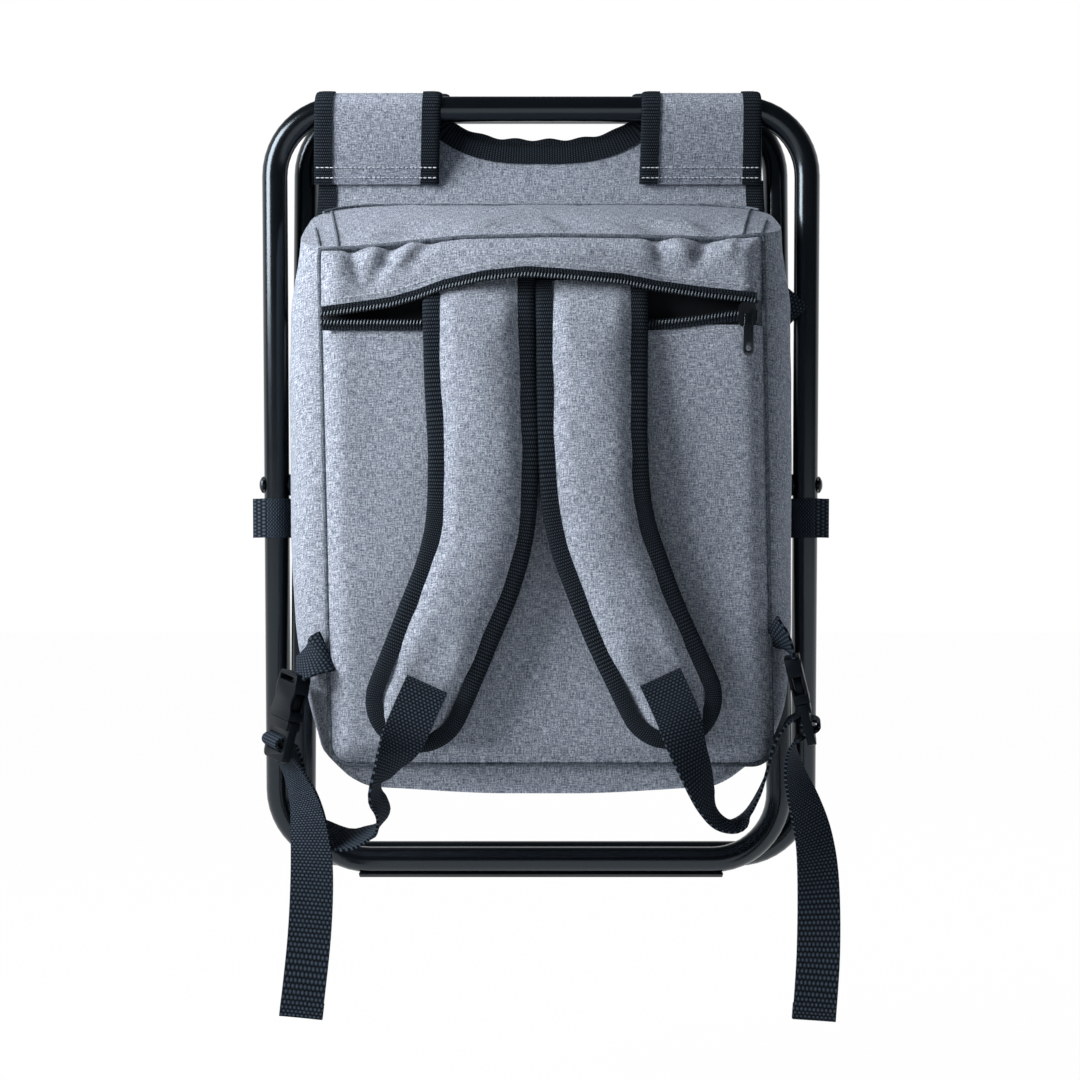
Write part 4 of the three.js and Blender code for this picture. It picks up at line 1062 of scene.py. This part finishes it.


# %% [markdown]
# Both panels are made and get their stitches along the zip. A ray finds the cloth under each stitch, so that the
# threads lie on the wrinkled surface. A near-black sheet inside the pocket closes the view into it: painted shade.
# %% Pocket pieces
face = thicken(panel("pocket_face", 100, 96, pocket_face), 1.4)
dress(face, cloth, "bag", "cloth", "strap_pocket_panel")
header = thicken(panel("pocket_header", 150, 30, pocket_header), 1.4)
dress(header, cloth, "bag", "cloth")
bpy.context.view_layer.update()
for sewn, name in ((header, "upper"), (face, "lower")):
    row = []
    for x in spread(-122, 122, 81):
        z = through(mouth_top, x) + 6.5 if sewn is header else -152.6
        hit, place, _, _ = sewn.ray_cast(Vector((x, -300, z)) * MM, Vector((0, 1, 0)))
        if hit:
            row.append((place / MM + Vector((0, -0.1, 0)), (1, 0, 0)))
    dress(stitches(f"pocket_zip_{name}_thread", row, (0, -1, 0), 1.9, 0.45), pale_thread, "bag", "cloth")


def dark_back(u, v):
    return mix(-123, 123, u), -111.2, mix(-156, -110, v)


# The dark sheet is painted shade inside the open pocket.
dress(thicken(panel("pocket_inside", 20, 8, dark_back), 0.8), lining, "bag", "zip")

# %% [markdown]
# A welt runs round the pocket where it is sewn to the bag. It is a thin cord of the same cloth in shadow. A bevel on
# the panel's edge would do, but a cord of its own keeps the dark line even.
# %% Seam welt
SEAM_Y, BEND_Z = -110.2, POCKET_LOW + CORNER
welt = [(x, -110.6, through(seam_top, x) + 0.6) for x in spread(SEAM_HALF, -SEAM_HALF, 60)]
welt += [(-pocket_half(z) - 0.6, SEAM_Y, z) for z in spread(-106, BEND_Z, 59)[1:]]
for side in (-1, 1):
    middle, start = side * (pocket_half(POCKET_LOW, side) - CORNER), math.pi * (1.25 + 0.25 * side)
    for a in spread(start, start + math.pi / 2, 8):
        welt.append((middle + (CORNER + 0.8) * math.cos(a), SEAM_Y, BEND_Z + (CORNER + 0.8) * math.sin(a)))
welt += [(pocket_half(z, 1) + 0.6, SEAM_Y, z) for z in spread(BEND_Z, -98, 59)[1:]]
dress(cord_line("pocket_welt", welt, 1.5, closed=True), seam, "bag", "cloth")


# %% [markdown]
# The top of the bag is sewn from a panel and two gussets. Thin cords of darker cloth laid on it show those seams as
# painted shade. Rays from above find the cloth under them, because its dents aren't known beforehand.
# %% Top seams
def draped(points, lift=0.2):
    bpy.context.view_layer.update()
    laid = []
    for x, y in points:
        hit, place, _, _ = bag.ray_cast(Vector((x * MM, y * MM, 0)), Vector((0, 0, -1)))
        if hit:
            laid.append((x, y, place.z / MM + lift))
    return laid


rear_edge = [bag_at(around, 0.0) + Vector((0, -3, 0.2)) for around in spread(0.03, 0.425, 60)]
dress(cord_line("top_rear_seam", rear_edge, 0.9), seam, "bag", "cloth")
for side, name in SIDES:
    for order, (start, end) in enumerate((((132, -18), (117.5, -107.5)), ((136, -66), (128.5, -106)))):
        run = [(side * mix(start[0], end[0], t), mix(start[1], end[1], t)) for t in spread(0, 1, 16)]
        dress(cord_line(f"gusset_seam_{name}_{order}", draped(run), 0.9), seam, "bag", "cloth")

# %% [markdown]
# The pocket zip is open. Each half is a tape with a row of coil along its edge, sewn down by a row of stitches. The
# coil is made of beads like the stitches, large enough to catch the light.
# %% Pocket zip
ZIP_STEPS, ZIP_WIDE, COIL_PITCH, STITCH_PITCH = 120, 6.0, 1.9, 3.3
upper, lower = [], []
for x in spread(-126, 124, ZIP_STEPS):
    upper.append((x, FACE - header_lift(x) - 0.6, through(mouth_top, x)))
    lower.append((x, FACE - 0.4, mix(ZIP_LOW, -143.5, ease((x - 60) / 66))))
halves = (("upper", upper, 1), ("lower", lower, -1))
for name, line, up in halves:
    def tape_point(u, v):
        x, y, z = line[round(v * ZIP_STEPS)]
        return x, y - 0.6, z + up * (u - 0.45) * ZIP_WIDE

    strip = thicken(panel(f"zip_tape_{name}", 4, ZIP_STEPS, tape_point, (ZIP_WIDE * MM, 0.25)), 0.8)
    dress(strip, tape, "bag", "zip", f"pocket_zip_{name}")
for name, line, up in halves:
    coil = [(middle + Vector((0, -1.3, -up * 1.2)), (0.3, 0, 1)) for middle, _ in row_of(line, COIL_PITCH)]
    dress(stitches(f"zip_coil_{name}", coil, (0, -1, 0), 4.6, 1.25), coil_nylon, "bag", "zip")
for name, line, proud, off in (("header", upper, 0.9, 6.8), ("pocket", lower, 0.7, -6.6)):
    row = row_of([(x, y - proud, z + off) for x, y, z in line[2:-2]], STITCH_PITCH)
    dress(stitches(f"{name}_thread", row, (0, -1, 0), 2.1, 0.5), pale_thread, "bag", "cloth")

# %% [markdown]
# The shoulder straps are foam pads: crowned in section, pinched thin at the edge, and bound all round. Each is swept
# along its middle line and closed by a round end. The webbing's patch is pressed into it. A subdivided box would
# round off the pinched edge.
# %% Shoulder pads
pad_lines = {
    "left": [
        (-36, -122), (-35.5, -150), (-34.8, -182), (-33, -217), (-33.3, -249), (-35.8, -272), (-42, -295),
        (-52, -320), (-62.5, -346), (-70, -364),
    ],
    "right": [
        (29, -124), (29, -150), (29, -182), (29, -217), (31, -249), (35, -270), (42.5, -292),
        (52.5, -318), (65, -345), (73, -362),
    ],
}
patches = {"left": Vector((-68, 0, -362)), "right": Vector((71, 0, -360))}


def pad_depth(z):
    """How far the pad's back stands in front of the pocket face: it dips into the mouth at the top."""
    return mix(-112.5, -119.6, ease((-118 - z) / 34)) - 8.5 * ease((-150 - z) / 90)


def level(ahead):
    """The way across the pad, square to the way ahead."""
    return Vector((-ahead.z, 0, ahead.x))


def pad_rows(line):
    """Middle, way ahead and half width, down the pad and round its end."""
    line = [(x, 0, z) for x, z in line]
    rows = []
    for t in spread(0, 1, 60):
        ahead = (route_point(line, min(t + 0.01, 1)) - route_point(line, max(t - 0.01, 0))).normalized()
        rows.append((route_point(line, t), ahead, mix(31.5, 28.6, t)))
    tip, ahead, wide = rows[-1]
    for a in spread(0, math.pi / 2, 14)[1:]:
        rows.append((tip + ahead * (math.sin(a) * wide), ahead, max(0.05, wide * math.cos(a))))
    return rows


# %% [markdown]
# Each pad is a closed tube of cloth that its foam swells, except at the sewn edge and under the patch. The tape
# follows the pad's outline, and its inward side is found from the direction of that line.
# %% Pads and their tape
for side, line in pad_lines.items():
    rows, patch = pad_rows(line), patches[side]
    count = len(rows) - 1

    def pad_point(u, v):
        here, ahead, wide = rows[round(v * count)]
        a = (u % 1.0) * 2 * math.pi
        s = math.copysign(abs(math.cos(a)) ** 0.8, math.cos(a))
        inset = wide * (1 - abs(s))
        point = here + level(ahead) * (s * wide)
        if math.sin(a) > 0:
            full = mix(0.4, 1, ease((-122 - here.z) / 30))
            depth = 2.0 * min(1.0, inset / 2) + 6.6 * ease((inset - 6) / 12) ** 0.75 * full
        else:
            depth = -1.8 * min(1.0, inset / 3)
        if depth > 0:
            depth -= 3.6 * math.exp(-(((point - patch).length / 24) ** 4)) * ease(depth / 5)
        dent = (rumple(point.x, 2, point.z, 26, 1.1) + rumple(point.x, 4, point.z, 11, 0.35)) * ease(depth / 5)
        return point.x, pad_depth(point.z) - 2.6 - depth + dent, point.z

    def pad_held(at):
        return at.y > pad_depth(at.z) - 7.2 or (Vector((at.x, 0, at.z)) - patch).length < 22

    pad = panel(f"pad_{side}", 64, count, pad_point, closed=True)
    swell(pad, pad_held, 14.0, 2.6)
    dress(pad, cloth, "bag", "cloth", f"shoulder_pad_{side}")
    outline = [(here + level(ahead) * wide, -level(ahead)) for here, ahead, wide in rows]
    outline += [(here - level(ahead) * wide, level(ahead)) for here, ahead, wide in reversed(rows)]
    stations = []
    for i, (point, inward) in enumerate(outline):
        way = outline[min(i + 1, len(outline) - 1)][0] - outline[max(i - 1, 0)][0]
        if way.length > 1e-6:
            turn = level(way).normalized()
            if turn.dot(inward) < 0:
                turn = -turn
            inward = turn if turn.dot(inward) > 0.05 else inward
        stations.append(((point.x, pad_depth(point.z) - 3.2, point.z), inward, (0, -1, 0)))
    binding(f"pad_{side}_tape", stations, 9.0, 2.6, "bag")


# %% [markdown]
# A side-release buckle is two mouldings. The socket is a flat box, waisted where finger and thumb press it, with a
# window in each side. The plug has two springy arms that show in those windows, and a ladder for the webbing.
# Each is drawn flat as an outline, given its thickness, cut and rounded, and then moved to where it hangs.
# %% Moulding helpers
def plate(name, outline, depth):
    bpy.ops.mesh.primitive_circle_add(vertices=len(outline), radius=0.01, fill_type="NGON")
    piece = bpy.context.object
    piece.name = piece.data.name = name
    for point, (x, z) in zip(piece.data.vertices, outline):
        point.co = Vector((x, -depth / 2, z)) * MM
    bpy.ops.object.mode_set(mode="EDIT")
    bpy.ops.mesh.select_all(action="SELECT")
    bpy.ops.mesh.extrude_region_move(TRANSFORM_OT_translate={"value": (0, depth * MM, 0)})
    bpy.ops.object.mode_set(mode="OBJECT")
    face_outward()
    return piece


def other_half(outline):
    return [(-x, z) for x, z in reversed(outline)]


def block(low, high):
    middle = (Vector(low) + Vector(high)) / 2 * MM
    bpy.ops.mesh.primitive_cube_add(size=1, location=middle, scale=(Vector(high) - Vector(low)) * MM)
    bpy.ops.object.transform_apply(location=True, rotation=True, scale=True)
    return bpy.context.object


def combine(piece, other, operation):
    change(piece, "BOOLEAN", operation=operation, object=other, solver="EXACT")
    bpy.data.objects.remove(other)


def round_edges(piece, width):
    change(piece, "BEVEL", width=width * MM, segments=2, limit_method="ANGLE", angle_limit=math.radians(35))


# %% [markdown]
# Sockets and plugs come from the same outlines on both sides and are turned to where each hangs. Their slots and
# windows are plain boxes, so booleans cut them. The bevel comes last and rounds all edges alike.
# %% Buckles
socket_line = [
    (9.6, 0), (11.2, -0.5), (12.2, -2), (12.8, -6), (13.5, -9.6), (13.3, -11.6), (12.2, -13.8), (11.6, -16),
    (11.7, -18), (12.6, -20.4), (13.7, -22.2), (14, -24), (14, -26.4), (13.4, -27),
]
socket_cuts = [
    ((-10.8, -2.9, -28), (10.8, 2.9, -8.6)), ((-16, -2.9, -21.4), (16, 2.9, -11)), ((-10.5, -9, -5.6), (10.5, 9, -2.4)),
]
plug_line = [(13, -27.3), (13.8, -28), (14, -30), (14, -46), (13.7, -48.6), (12.6, -50.4), (10.6, -51.3)]
plug_cuts = [((-10.5, -9, -39.5), (10.5, 9, -36.3)), ((-10.5, -9, -46), (10.5, 9, -42.8))]
shoulder_line = [(13.4, -27.3), (13.4, -31), (12.4, -32.6)]
arm_line = [
    (5.2, -28.5), (8.9, -28.5), (9.4, -24), (10.2, -20), (10.6, -16.4), (10.2, -13), (8.9, -10.4), (7.5, -9.7),
    (6.3, -10.4), (6.1, -13), (6.4, -18), (5.6, -24),
]
for side, route in routes.items():
    wide, out, down = buckle_axes(route)
    turn = Matrix((wide, -out, -down)).transposed().to_4x4()
    turn.translation = Vector(route["hang"]) * MM
    socket = plate(f"clip_socket_{side}", socket_line + other_half(socket_line), 9)
    for low, high in socket_cuts:
        combine(socket, block(low, high), "DIFFERENCE")
    plug = plate(f"clip_plug_{side}", plug_line + other_half(plug_line), 5)
    for low, high in plug_cuts:
        combine(plug, block(low, high), "DIFFERENCE")
    combine(plug, plate("shoulder", shoulder_line + other_half(shoulder_line), 8), "UNION")
    combine(plug, plate("arm", arm_line, 4.4), "UNION")
    combine(plug, plate("arm", [(-x, z) for x, z in arm_line], 4.4), "UNION")
    combine(plug, block((-1.6, -2.2, -28.5), (1.6, 2.2, -10.5)), "UNION")
    for piece, kind, body in ((socket, "socket", "bag"), (plug, "plug", f"buckle_{side}")):
        round_edges(piece, 0.6)
        piece.data.transform(turn)
        dress(piece, moulded, body, "nylon", f"buckle_{kind}_{side}")

# %% [markdown]
# The zip pullers are stamped strips of metal: a rim round a sunk face, with a round hole near the free end. Their
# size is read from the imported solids, so that they fit the sliders they flip on.
# %% Zip pullers
for place in ("pocket", "lid"):
    low, high = (Vector(corner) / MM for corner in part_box(f"{place}_puller"))
    half, length = (high.x - low.x) / 2, high.z - low.z
    line = [(half * 0.55, 0), (half * 0.72, -0.8), (half * 0.76, -5), (half * 0.95, -8), (half, -length + 3)]
    line += [(half * math.cos(a), -length + 3 - 3 * math.sin(a)) for a in (0.5, 1.0, 1.35)]
    puller = plate(f"{place}_pull_tab", line + other_half(line), high.y - low.y)
    for depth in (-1, 1):
        sunk = block((-half * 0.5, depth * 0.5, -length + 8.5), (half * 0.5, depth * 4, -6.5))
        combine(puller, sunk, "DIFFERENCE")
    hole = (0, 0, (-length + 4.2) * MM)
    bpy.ops.mesh.primitive_cylinder_add(
        vertices=20, radius=half * 0.5 * MM, depth=0.02, location=hole, rotation=(math.pi / 2, 0, 0),
    )
    bpy.ops.object.transform_apply(location=True, rotation=True, scale=True)
    combine(puller, bpy.context.object, "DIFFERENCE")
    round_edges(puller, 0.25)
    puller.data.transform(Matrix.Translation(Vector(((low.x + high.x) / 2, (low.y + high.y) / 2, high.z)) * MM))
    dress(puller, puller_steel, f"{place}_puller", "steel", f"{place}_puller")

# %% [markdown]
# The keepers are short loops of webbing round the outer tubes, with their sewn end standing out. A flat profile swept
# up the tube is enough, since they are sewn tight.
# %% Keepers
KEEPER_R, KEEPER_Z, TUBE_X = 9.1, -259, 169
profile = [
    (KEEPER_R * math.cos(a), KEEPER_R * math.sin(a)) for a in spread(math.radians(58), math.radians(302), 24)
]
profile += [(10.5, -3.6), (14.8, -0.9), (14.8, 0.9), (10.5, 3.6), profile[0]]
last = len(profile) - 1
for name, turn in (("right", 1), ("left", -1)):
    def keeper_point(u, v):
        x, y = profile[round(v * last)]
        z = KEEPER_Z + (u - 0.5) * WIDE
        lean = -(z - PIVOT_Z) * math.sin(LEAN)
        return turn * (TUBE_X + x), lean + y, z + rumple(x * 2, y * 2, z, 12, 0.3)

    loop = panel(f"keeper_{name}", 6, last, keeper_point, (0.025, 0.075), closed=True)
    dress(thicken(loop, 1.1), webbing, "outer_frame", "binding", f"keeper_loop_{name}")

# %% [markdown]
# The back of the bag has the cooler's lid: a padded panel, swollen between its edges, inside a zip that runs round
# three of its sides. Places on the lid are given by x, by how far out they stand and by how far up from the hinge.
# The same grid as for the other panels, with rounded corners, is given thickness and then swollen.
# %% Cooler lid
HINGE_Y, LID_LOW = -18.653, -397.0
TILT = math.atan2(17, 366)
LID_HALF, LID_TALL, LID_R, LID_RIM = 115.5, 245, 24, 22


def on_back(x, out, up):
    y = HINGE_Y + out * math.cos(TILT) + up * math.sin(TILT)
    return x, y, LID_LOW - out * math.sin(TILT) + up * math.cos(TILT)


def lid_skin(u, v):
    s = u * 2 - 1
    up = mix(0.6, LID_TALL - 0.6, v)
    half = LID_HALF
    for end in (up, LID_TALL - up):
        if end < LID_R:
            half = min(half, LID_HALF - LID_R + math.sqrt(max(0, LID_R**2 - (LID_R - end) ** 2)))
    x = s * half
    rim = min((1 - abs(s)) * half, up, LID_TALL - up, LID_RIM) / LID_RIM
    return on_back(x, -1.6 + 2.6 * ease(rim) + rumple(x, 11, up, 40, 0.7) * rim, up)


def lid_held(at):
    up = (at.z - LID_LOW) / math.cos(TILT)
    return abs(at.x) > 107 or up < 8 or up > 237


lid = thicken(panel("lid_panel", 60, 60, lid_skin), 2.0)
swell(lid, lid_held, 3.0, 2.6)
dress(lid, cloth, "lid", "cloth", "cooler_lid")

# %% [markdown]
# The lid's zip runs up one side, across the top and down the other. Its tape follows one list of points, which the
# coil uses later, so that the two can't part.
# %% Lid zip
TRACK_X, TRACK_R, TRACK_LOW, TRACK_BEND = 92, 28.5, 62, 221
track = [(-TRACK_X - TRACK_R, up) for up in spread(TRACK_LOW, TRACK_BEND, 30)]
for side in (-1, 1):
    start = math.pi if side < 0 else math.pi / 2
    for a in spread(start, start - math.pi / 2, 12)[1:-1]:
        track.append((side * TRACK_X + TRACK_R * math.cos(a), TRACK_BEND + TRACK_R * math.sin(a)))
    if side < 0:
        track += [(x, TRACK_BEND + TRACK_R) for x in spread(-TRACK_X, TRACK_X, 30)]
track += [(TRACK_X + TRACK_R, up) for up in spread(TRACK_BEND, TRACK_LOW, 30)]
steps = len(track) - 1


def lid_tape_point(u, v):
    i = round(v * steps)
    x, up = track[i]
    way = (Vector(track[min(i + 1, steps)]) - Vector(track[max(i - 1, 0)])).normalized()
    reach = (u - 0.5) * 9
    return on_back(x - way.y * reach, 0.9, up + way.x * reach)


strip = thicken(panel("lid_zip_tape", 4, steps, lid_tape_point, (0.009, 0.62)), 1.0)
dress(strip, tape, "bag", "zip", "lid_zip")


# %% [markdown]
# Behind the lid is the cooler itself. Its foil lining is a pouch of rounded rings, from the mouth to the front wall,
# kept inside the bag. A tape covers the cut edge of the mouth, and the inside of the lid is foil too.
# %% Cooler lining
def round_loop(u, half, low, high, corner):
    """A place on a rounded rectangle, given as a share of the way round it."""
    spans = [2 * (half - corner), high - low - 2 * corner] * 2
    arc = corner * math.pi / 2
    left = (u % 1.0) * (sum(spans) + 4 * arc)
    ends = [(-1, -1), (1, -1), (1, 1), (-1, 1)]
    centres = []
    for x, z in ends:
        centres.append(Vector((x * (half - corner), 0, (low + high) / 2 + z * ((high - low) / 2 - corner))))
    for i, span in enumerate(spans):
        a, b = ends[i], ends[(i + 1) % 4]
        way = Vector((b[0] - a[0], 0, b[1] - a[1])).normalized()
        off = Vector((way.z, 0, -way.x))
        if left <= span:
            return centres[i] + way * left + off * corner
        left -= span
        if left <= arc:
            turn = left / corner
            return centres[(i + 1) % 4] + off * (corner * math.cos(turn)) + way * (corner * math.sin(turn))
        left -= arc
    return centres[3]


# %% [markdown]
# The pouch is a stack of such loops, blended between a few stages. The bag's corners are round, so each point is
# checked against the room there. Crinkles make the foil look thin.
# %% Lining pouch
# share of the way in, half width, low, high, corner, depth behind the back wall
stages = [
    (0.0, 110.8, -389.8, -157.2, 18, 6.8), (0.06, 112, -391, -156, 19, 8.2), (0.2, 131, -408, -84, 30, 11),
    (0.68, 130, -407, -112, 26, 78), (0.74, 118, -396, -122, 24, 84), (1.0, 0.5, -260, -259, 0.2, 86),
]
CLEAR = 7


def back_wall(z):
    return HINGE_Y + (z - LID_LOW) * math.tan(TILT)


def lining_room(y, z):
    """How far to the side the lining can go: the bag's upright corners are round."""
    share = (TOP - z) / (TOP - BOTTOM)
    lost = 0.0
    for near, corner in ((y - FRONT, FRONT_R), (BACK_TOP - BACK_LEAN * share - y, BACK_R)):
        if near < corner:
            lost = max(lost, corner - math.sqrt(max(0.0, corner**2 - (corner - near) ** 2)))
    return bag_half(min(share, 1.0)) - CLEAR - lost


def lining_point(u, v):
    for a, b in zip(stages, stages[1:]):
        if v <= b[0] + 1e-9:
            break
    k = (v - a[0]) / (b[0] - a[0])
    *ring, deep = (mix(x, y, k) for x, y in zip(a[1:], b[1:]))
    point = round_loop(u, *ring)
    wall = back_wall(point.z)
    if v > 0.03:
        room = lining_room(wall - deep, point.z)
        point.x = max(-room, min(room, point.x))
        point.z = min(point.z, bag_top(point.x, wall - deep) - CLEAR)
    crinkle = rumple(point.x, deep, point.z, 17, 1.3) * ease((v - 0.1) / 0.1)
    return point.x, wall - deep + crinkle, point.z + crinkle * 0.6


pouch = thicken(panel("cooler_lining", 160, 90, lining_point, closed=True), 0.6)
dress(pouch, foil, "bag", "foil", "bag_liner")
stations = []
for u in spread(0, 1, 120):
    sides = []
    for grow, out in ((0, -7.0), (8.8, 0.35)):
        point = round_loop(u, 110.4 + grow, -389.4 - grow, -157.6 + grow, 17.6 + grow)
        sides.append(Vector((point.x, back_wall(point.z) + out, point.z)))
    stations.append((sides[0], sides[1] - sides[0], (0, 1, 0)))
binding("cooler_mouth_tape", stations, 11.4, 0.6, "bag")


# %% [markdown]
# The inside of the lid is foil as well, with tape round its edge. The coil of the zip lies on the tape that was made
# before, and follows the same points.
# %% Lid lining
def lid_lining_point(u, v):
    x, up = lid_skin(u, v)[0] * 0.93, mix(9, 236, v)
    return on_back(x, -4.6 + rumple(x, 21, up, 19, 0.5), up)


dress(thicken(panel("lid_lining", 50, 50, lid_lining_point), 0.6), foil, "lid", "foil")
stations = []
for u in spread(0, 1, 120):
    point = round_loop(u, LID_HALF, 0.6, LID_TALL - 0.6, LID_R)
    inner = round_loop(u, LID_HALF - 6, 6.6, LID_TALL - 6.6, LID_R - 6)
    edge_at, in_at = Vector(on_back(point.x, -1.2, point.z)), Vector(on_back(inner.x, -0.9, inner.z))
    stations.append((edge_at, in_at - edge_at, (0, 1, 0)))
binding("lid_tape", stations, 6, 1.3, "lid")
ridge = cord_line("lid_zip_coil", [on_back(x, 1.6, up) for x, up in track], 0.9, 2)
dress(ridge, moulded, "bag", "zip")


# %% [markdown]
# The light is a plain white studio: a large soft light from the left, weak ones from above and in front, and two
# behind on the right. Only the first is mirrored in the paint. Floor and world are white to the camera.
# %% Studio
def soft_light(name, place, aim, size, watts, tone=(0.97, 0.985, 1), tall=None, mirrored=False):
    bpy.ops.object.light_add(type="AREA", location=place)
    lamp = bpy.context.object
    lamp.name = name
    lamp.data.energy = watts
    lamp.data.size = size
    if tall:
        lamp.data.shape = "RECTANGLE"
        lamp.data.size_y = tall
    lamp.data.color = tone
    lamp.visible_glossy = mirrored
    lamp.rotation_euler = (Vector(aim) - Vector(place)).to_track_quat("-Z", "Y").to_euler()
    print("lamp:", name, watts, "W")


def seen_rays(tree, backdrop=1.0):
    """One for rays from the camera, and for rays from shiny or clear surfaces that meet the backdrop."""
    path = put(tree, "LightPath").outputs
    found = path["Is Camera Ray"]
    for kind in ("Is Glossy Ray", "Is Transmission Ray"):
        found = calc(tree, "MAXIMUM", found, calc(tree, "MULTIPLY", path[kind], backdrop))
    return found


def surface(tree, share, first, second, target):
    both = put(tree, "MixShader", Fac=share)
    tree.links.new(first, both.inputs[1])
    tree.links.new(second, both.inputs[2])
    tree.links.new(both.outputs["Shader"], tree.nodes[target].inputs["Surface"])


soft_light("key", (-0.8, -0.45, 0.21), (0, -0.1, -0.18), 0.5, 18, tall=0.6, mirrored=True)
soft_light("top", (-0.15, -0.3, 0.85), (0, -0.05, -0.1), 0.6, 2.2)
soft_light("fill", (0.1, -1.9, 0.7), (0, 0, -0.2), 1.2, 1.2)
soft_light("edge", (1.1, 0.3, -0.1), (0, 0, -0.26), 0.4, 3, (0.95, 0.98, 1))
soft_light("rear", (0.5, 1.5, 0.5), (0, 0, -0.25), 1.0, 7)
bpy.ops.mesh.primitive_plane_add(size=12, location=(0, 0, -0.64))
ground = bpy.context.object
ground.name = "floor"
white, tree, shader = finish_named("white floor", 0.8, Base_Color=(0.86, 0.87, 0.88, 1))
glow = put(tree, "Emission", Color=(1, 1, 1, 1), Strength=1.0).outputs["Emission"]
share = calc(tree, "MULTIPLY", seen_rays(tree), 0.985)
surface(tree, share, shader.outputs["BSDF"], glow, "Material Output")
ground.data.materials.append(white)

# %% [markdown]
# The world is a weak blue light. Rays from the camera see plain white instead, and so do mirrored rays that go back
# and nearly level. That gives the black tubes their bright edges without lighting the cloth.
# %% World
world = bpy.data.worlds.new("studio")
bpy.context.scene.world = world
world.use_nodes = True
tree = world.node_tree
sky = fill(tree, tree.nodes["Background"], Color=(0.78, 0.9, 1, 1), Strength=0.085).outputs["Background"]
plain = put(tree, "Background", Color=(1, 1, 1, 1), Strength=1.0).outputs["Background"]
ways = put(tree, "TexCoord").outputs["Generated"]
ways = put(tree, "SeparateXYZ", Vector=ways).outputs
behind = put(tree, "MapRange", Value=ways["Y"], From_Min=-0.05, From_Max=0.2).outputs["Result"]
height = calc(tree, "ABSOLUTE", ways["Z"])
low_down = put(tree, "MapRange", Value=height, From_Min=0.75, From_Max=0.35).outputs["Result"]
share = seen_rays(tree, calc(tree, "MULTIPLY", behind, low_down))
surface(tree, share, sky, plain, "World Output")
bpy.context.scene.view_settings.view_transform = "Standard"
print("world:", world.name)
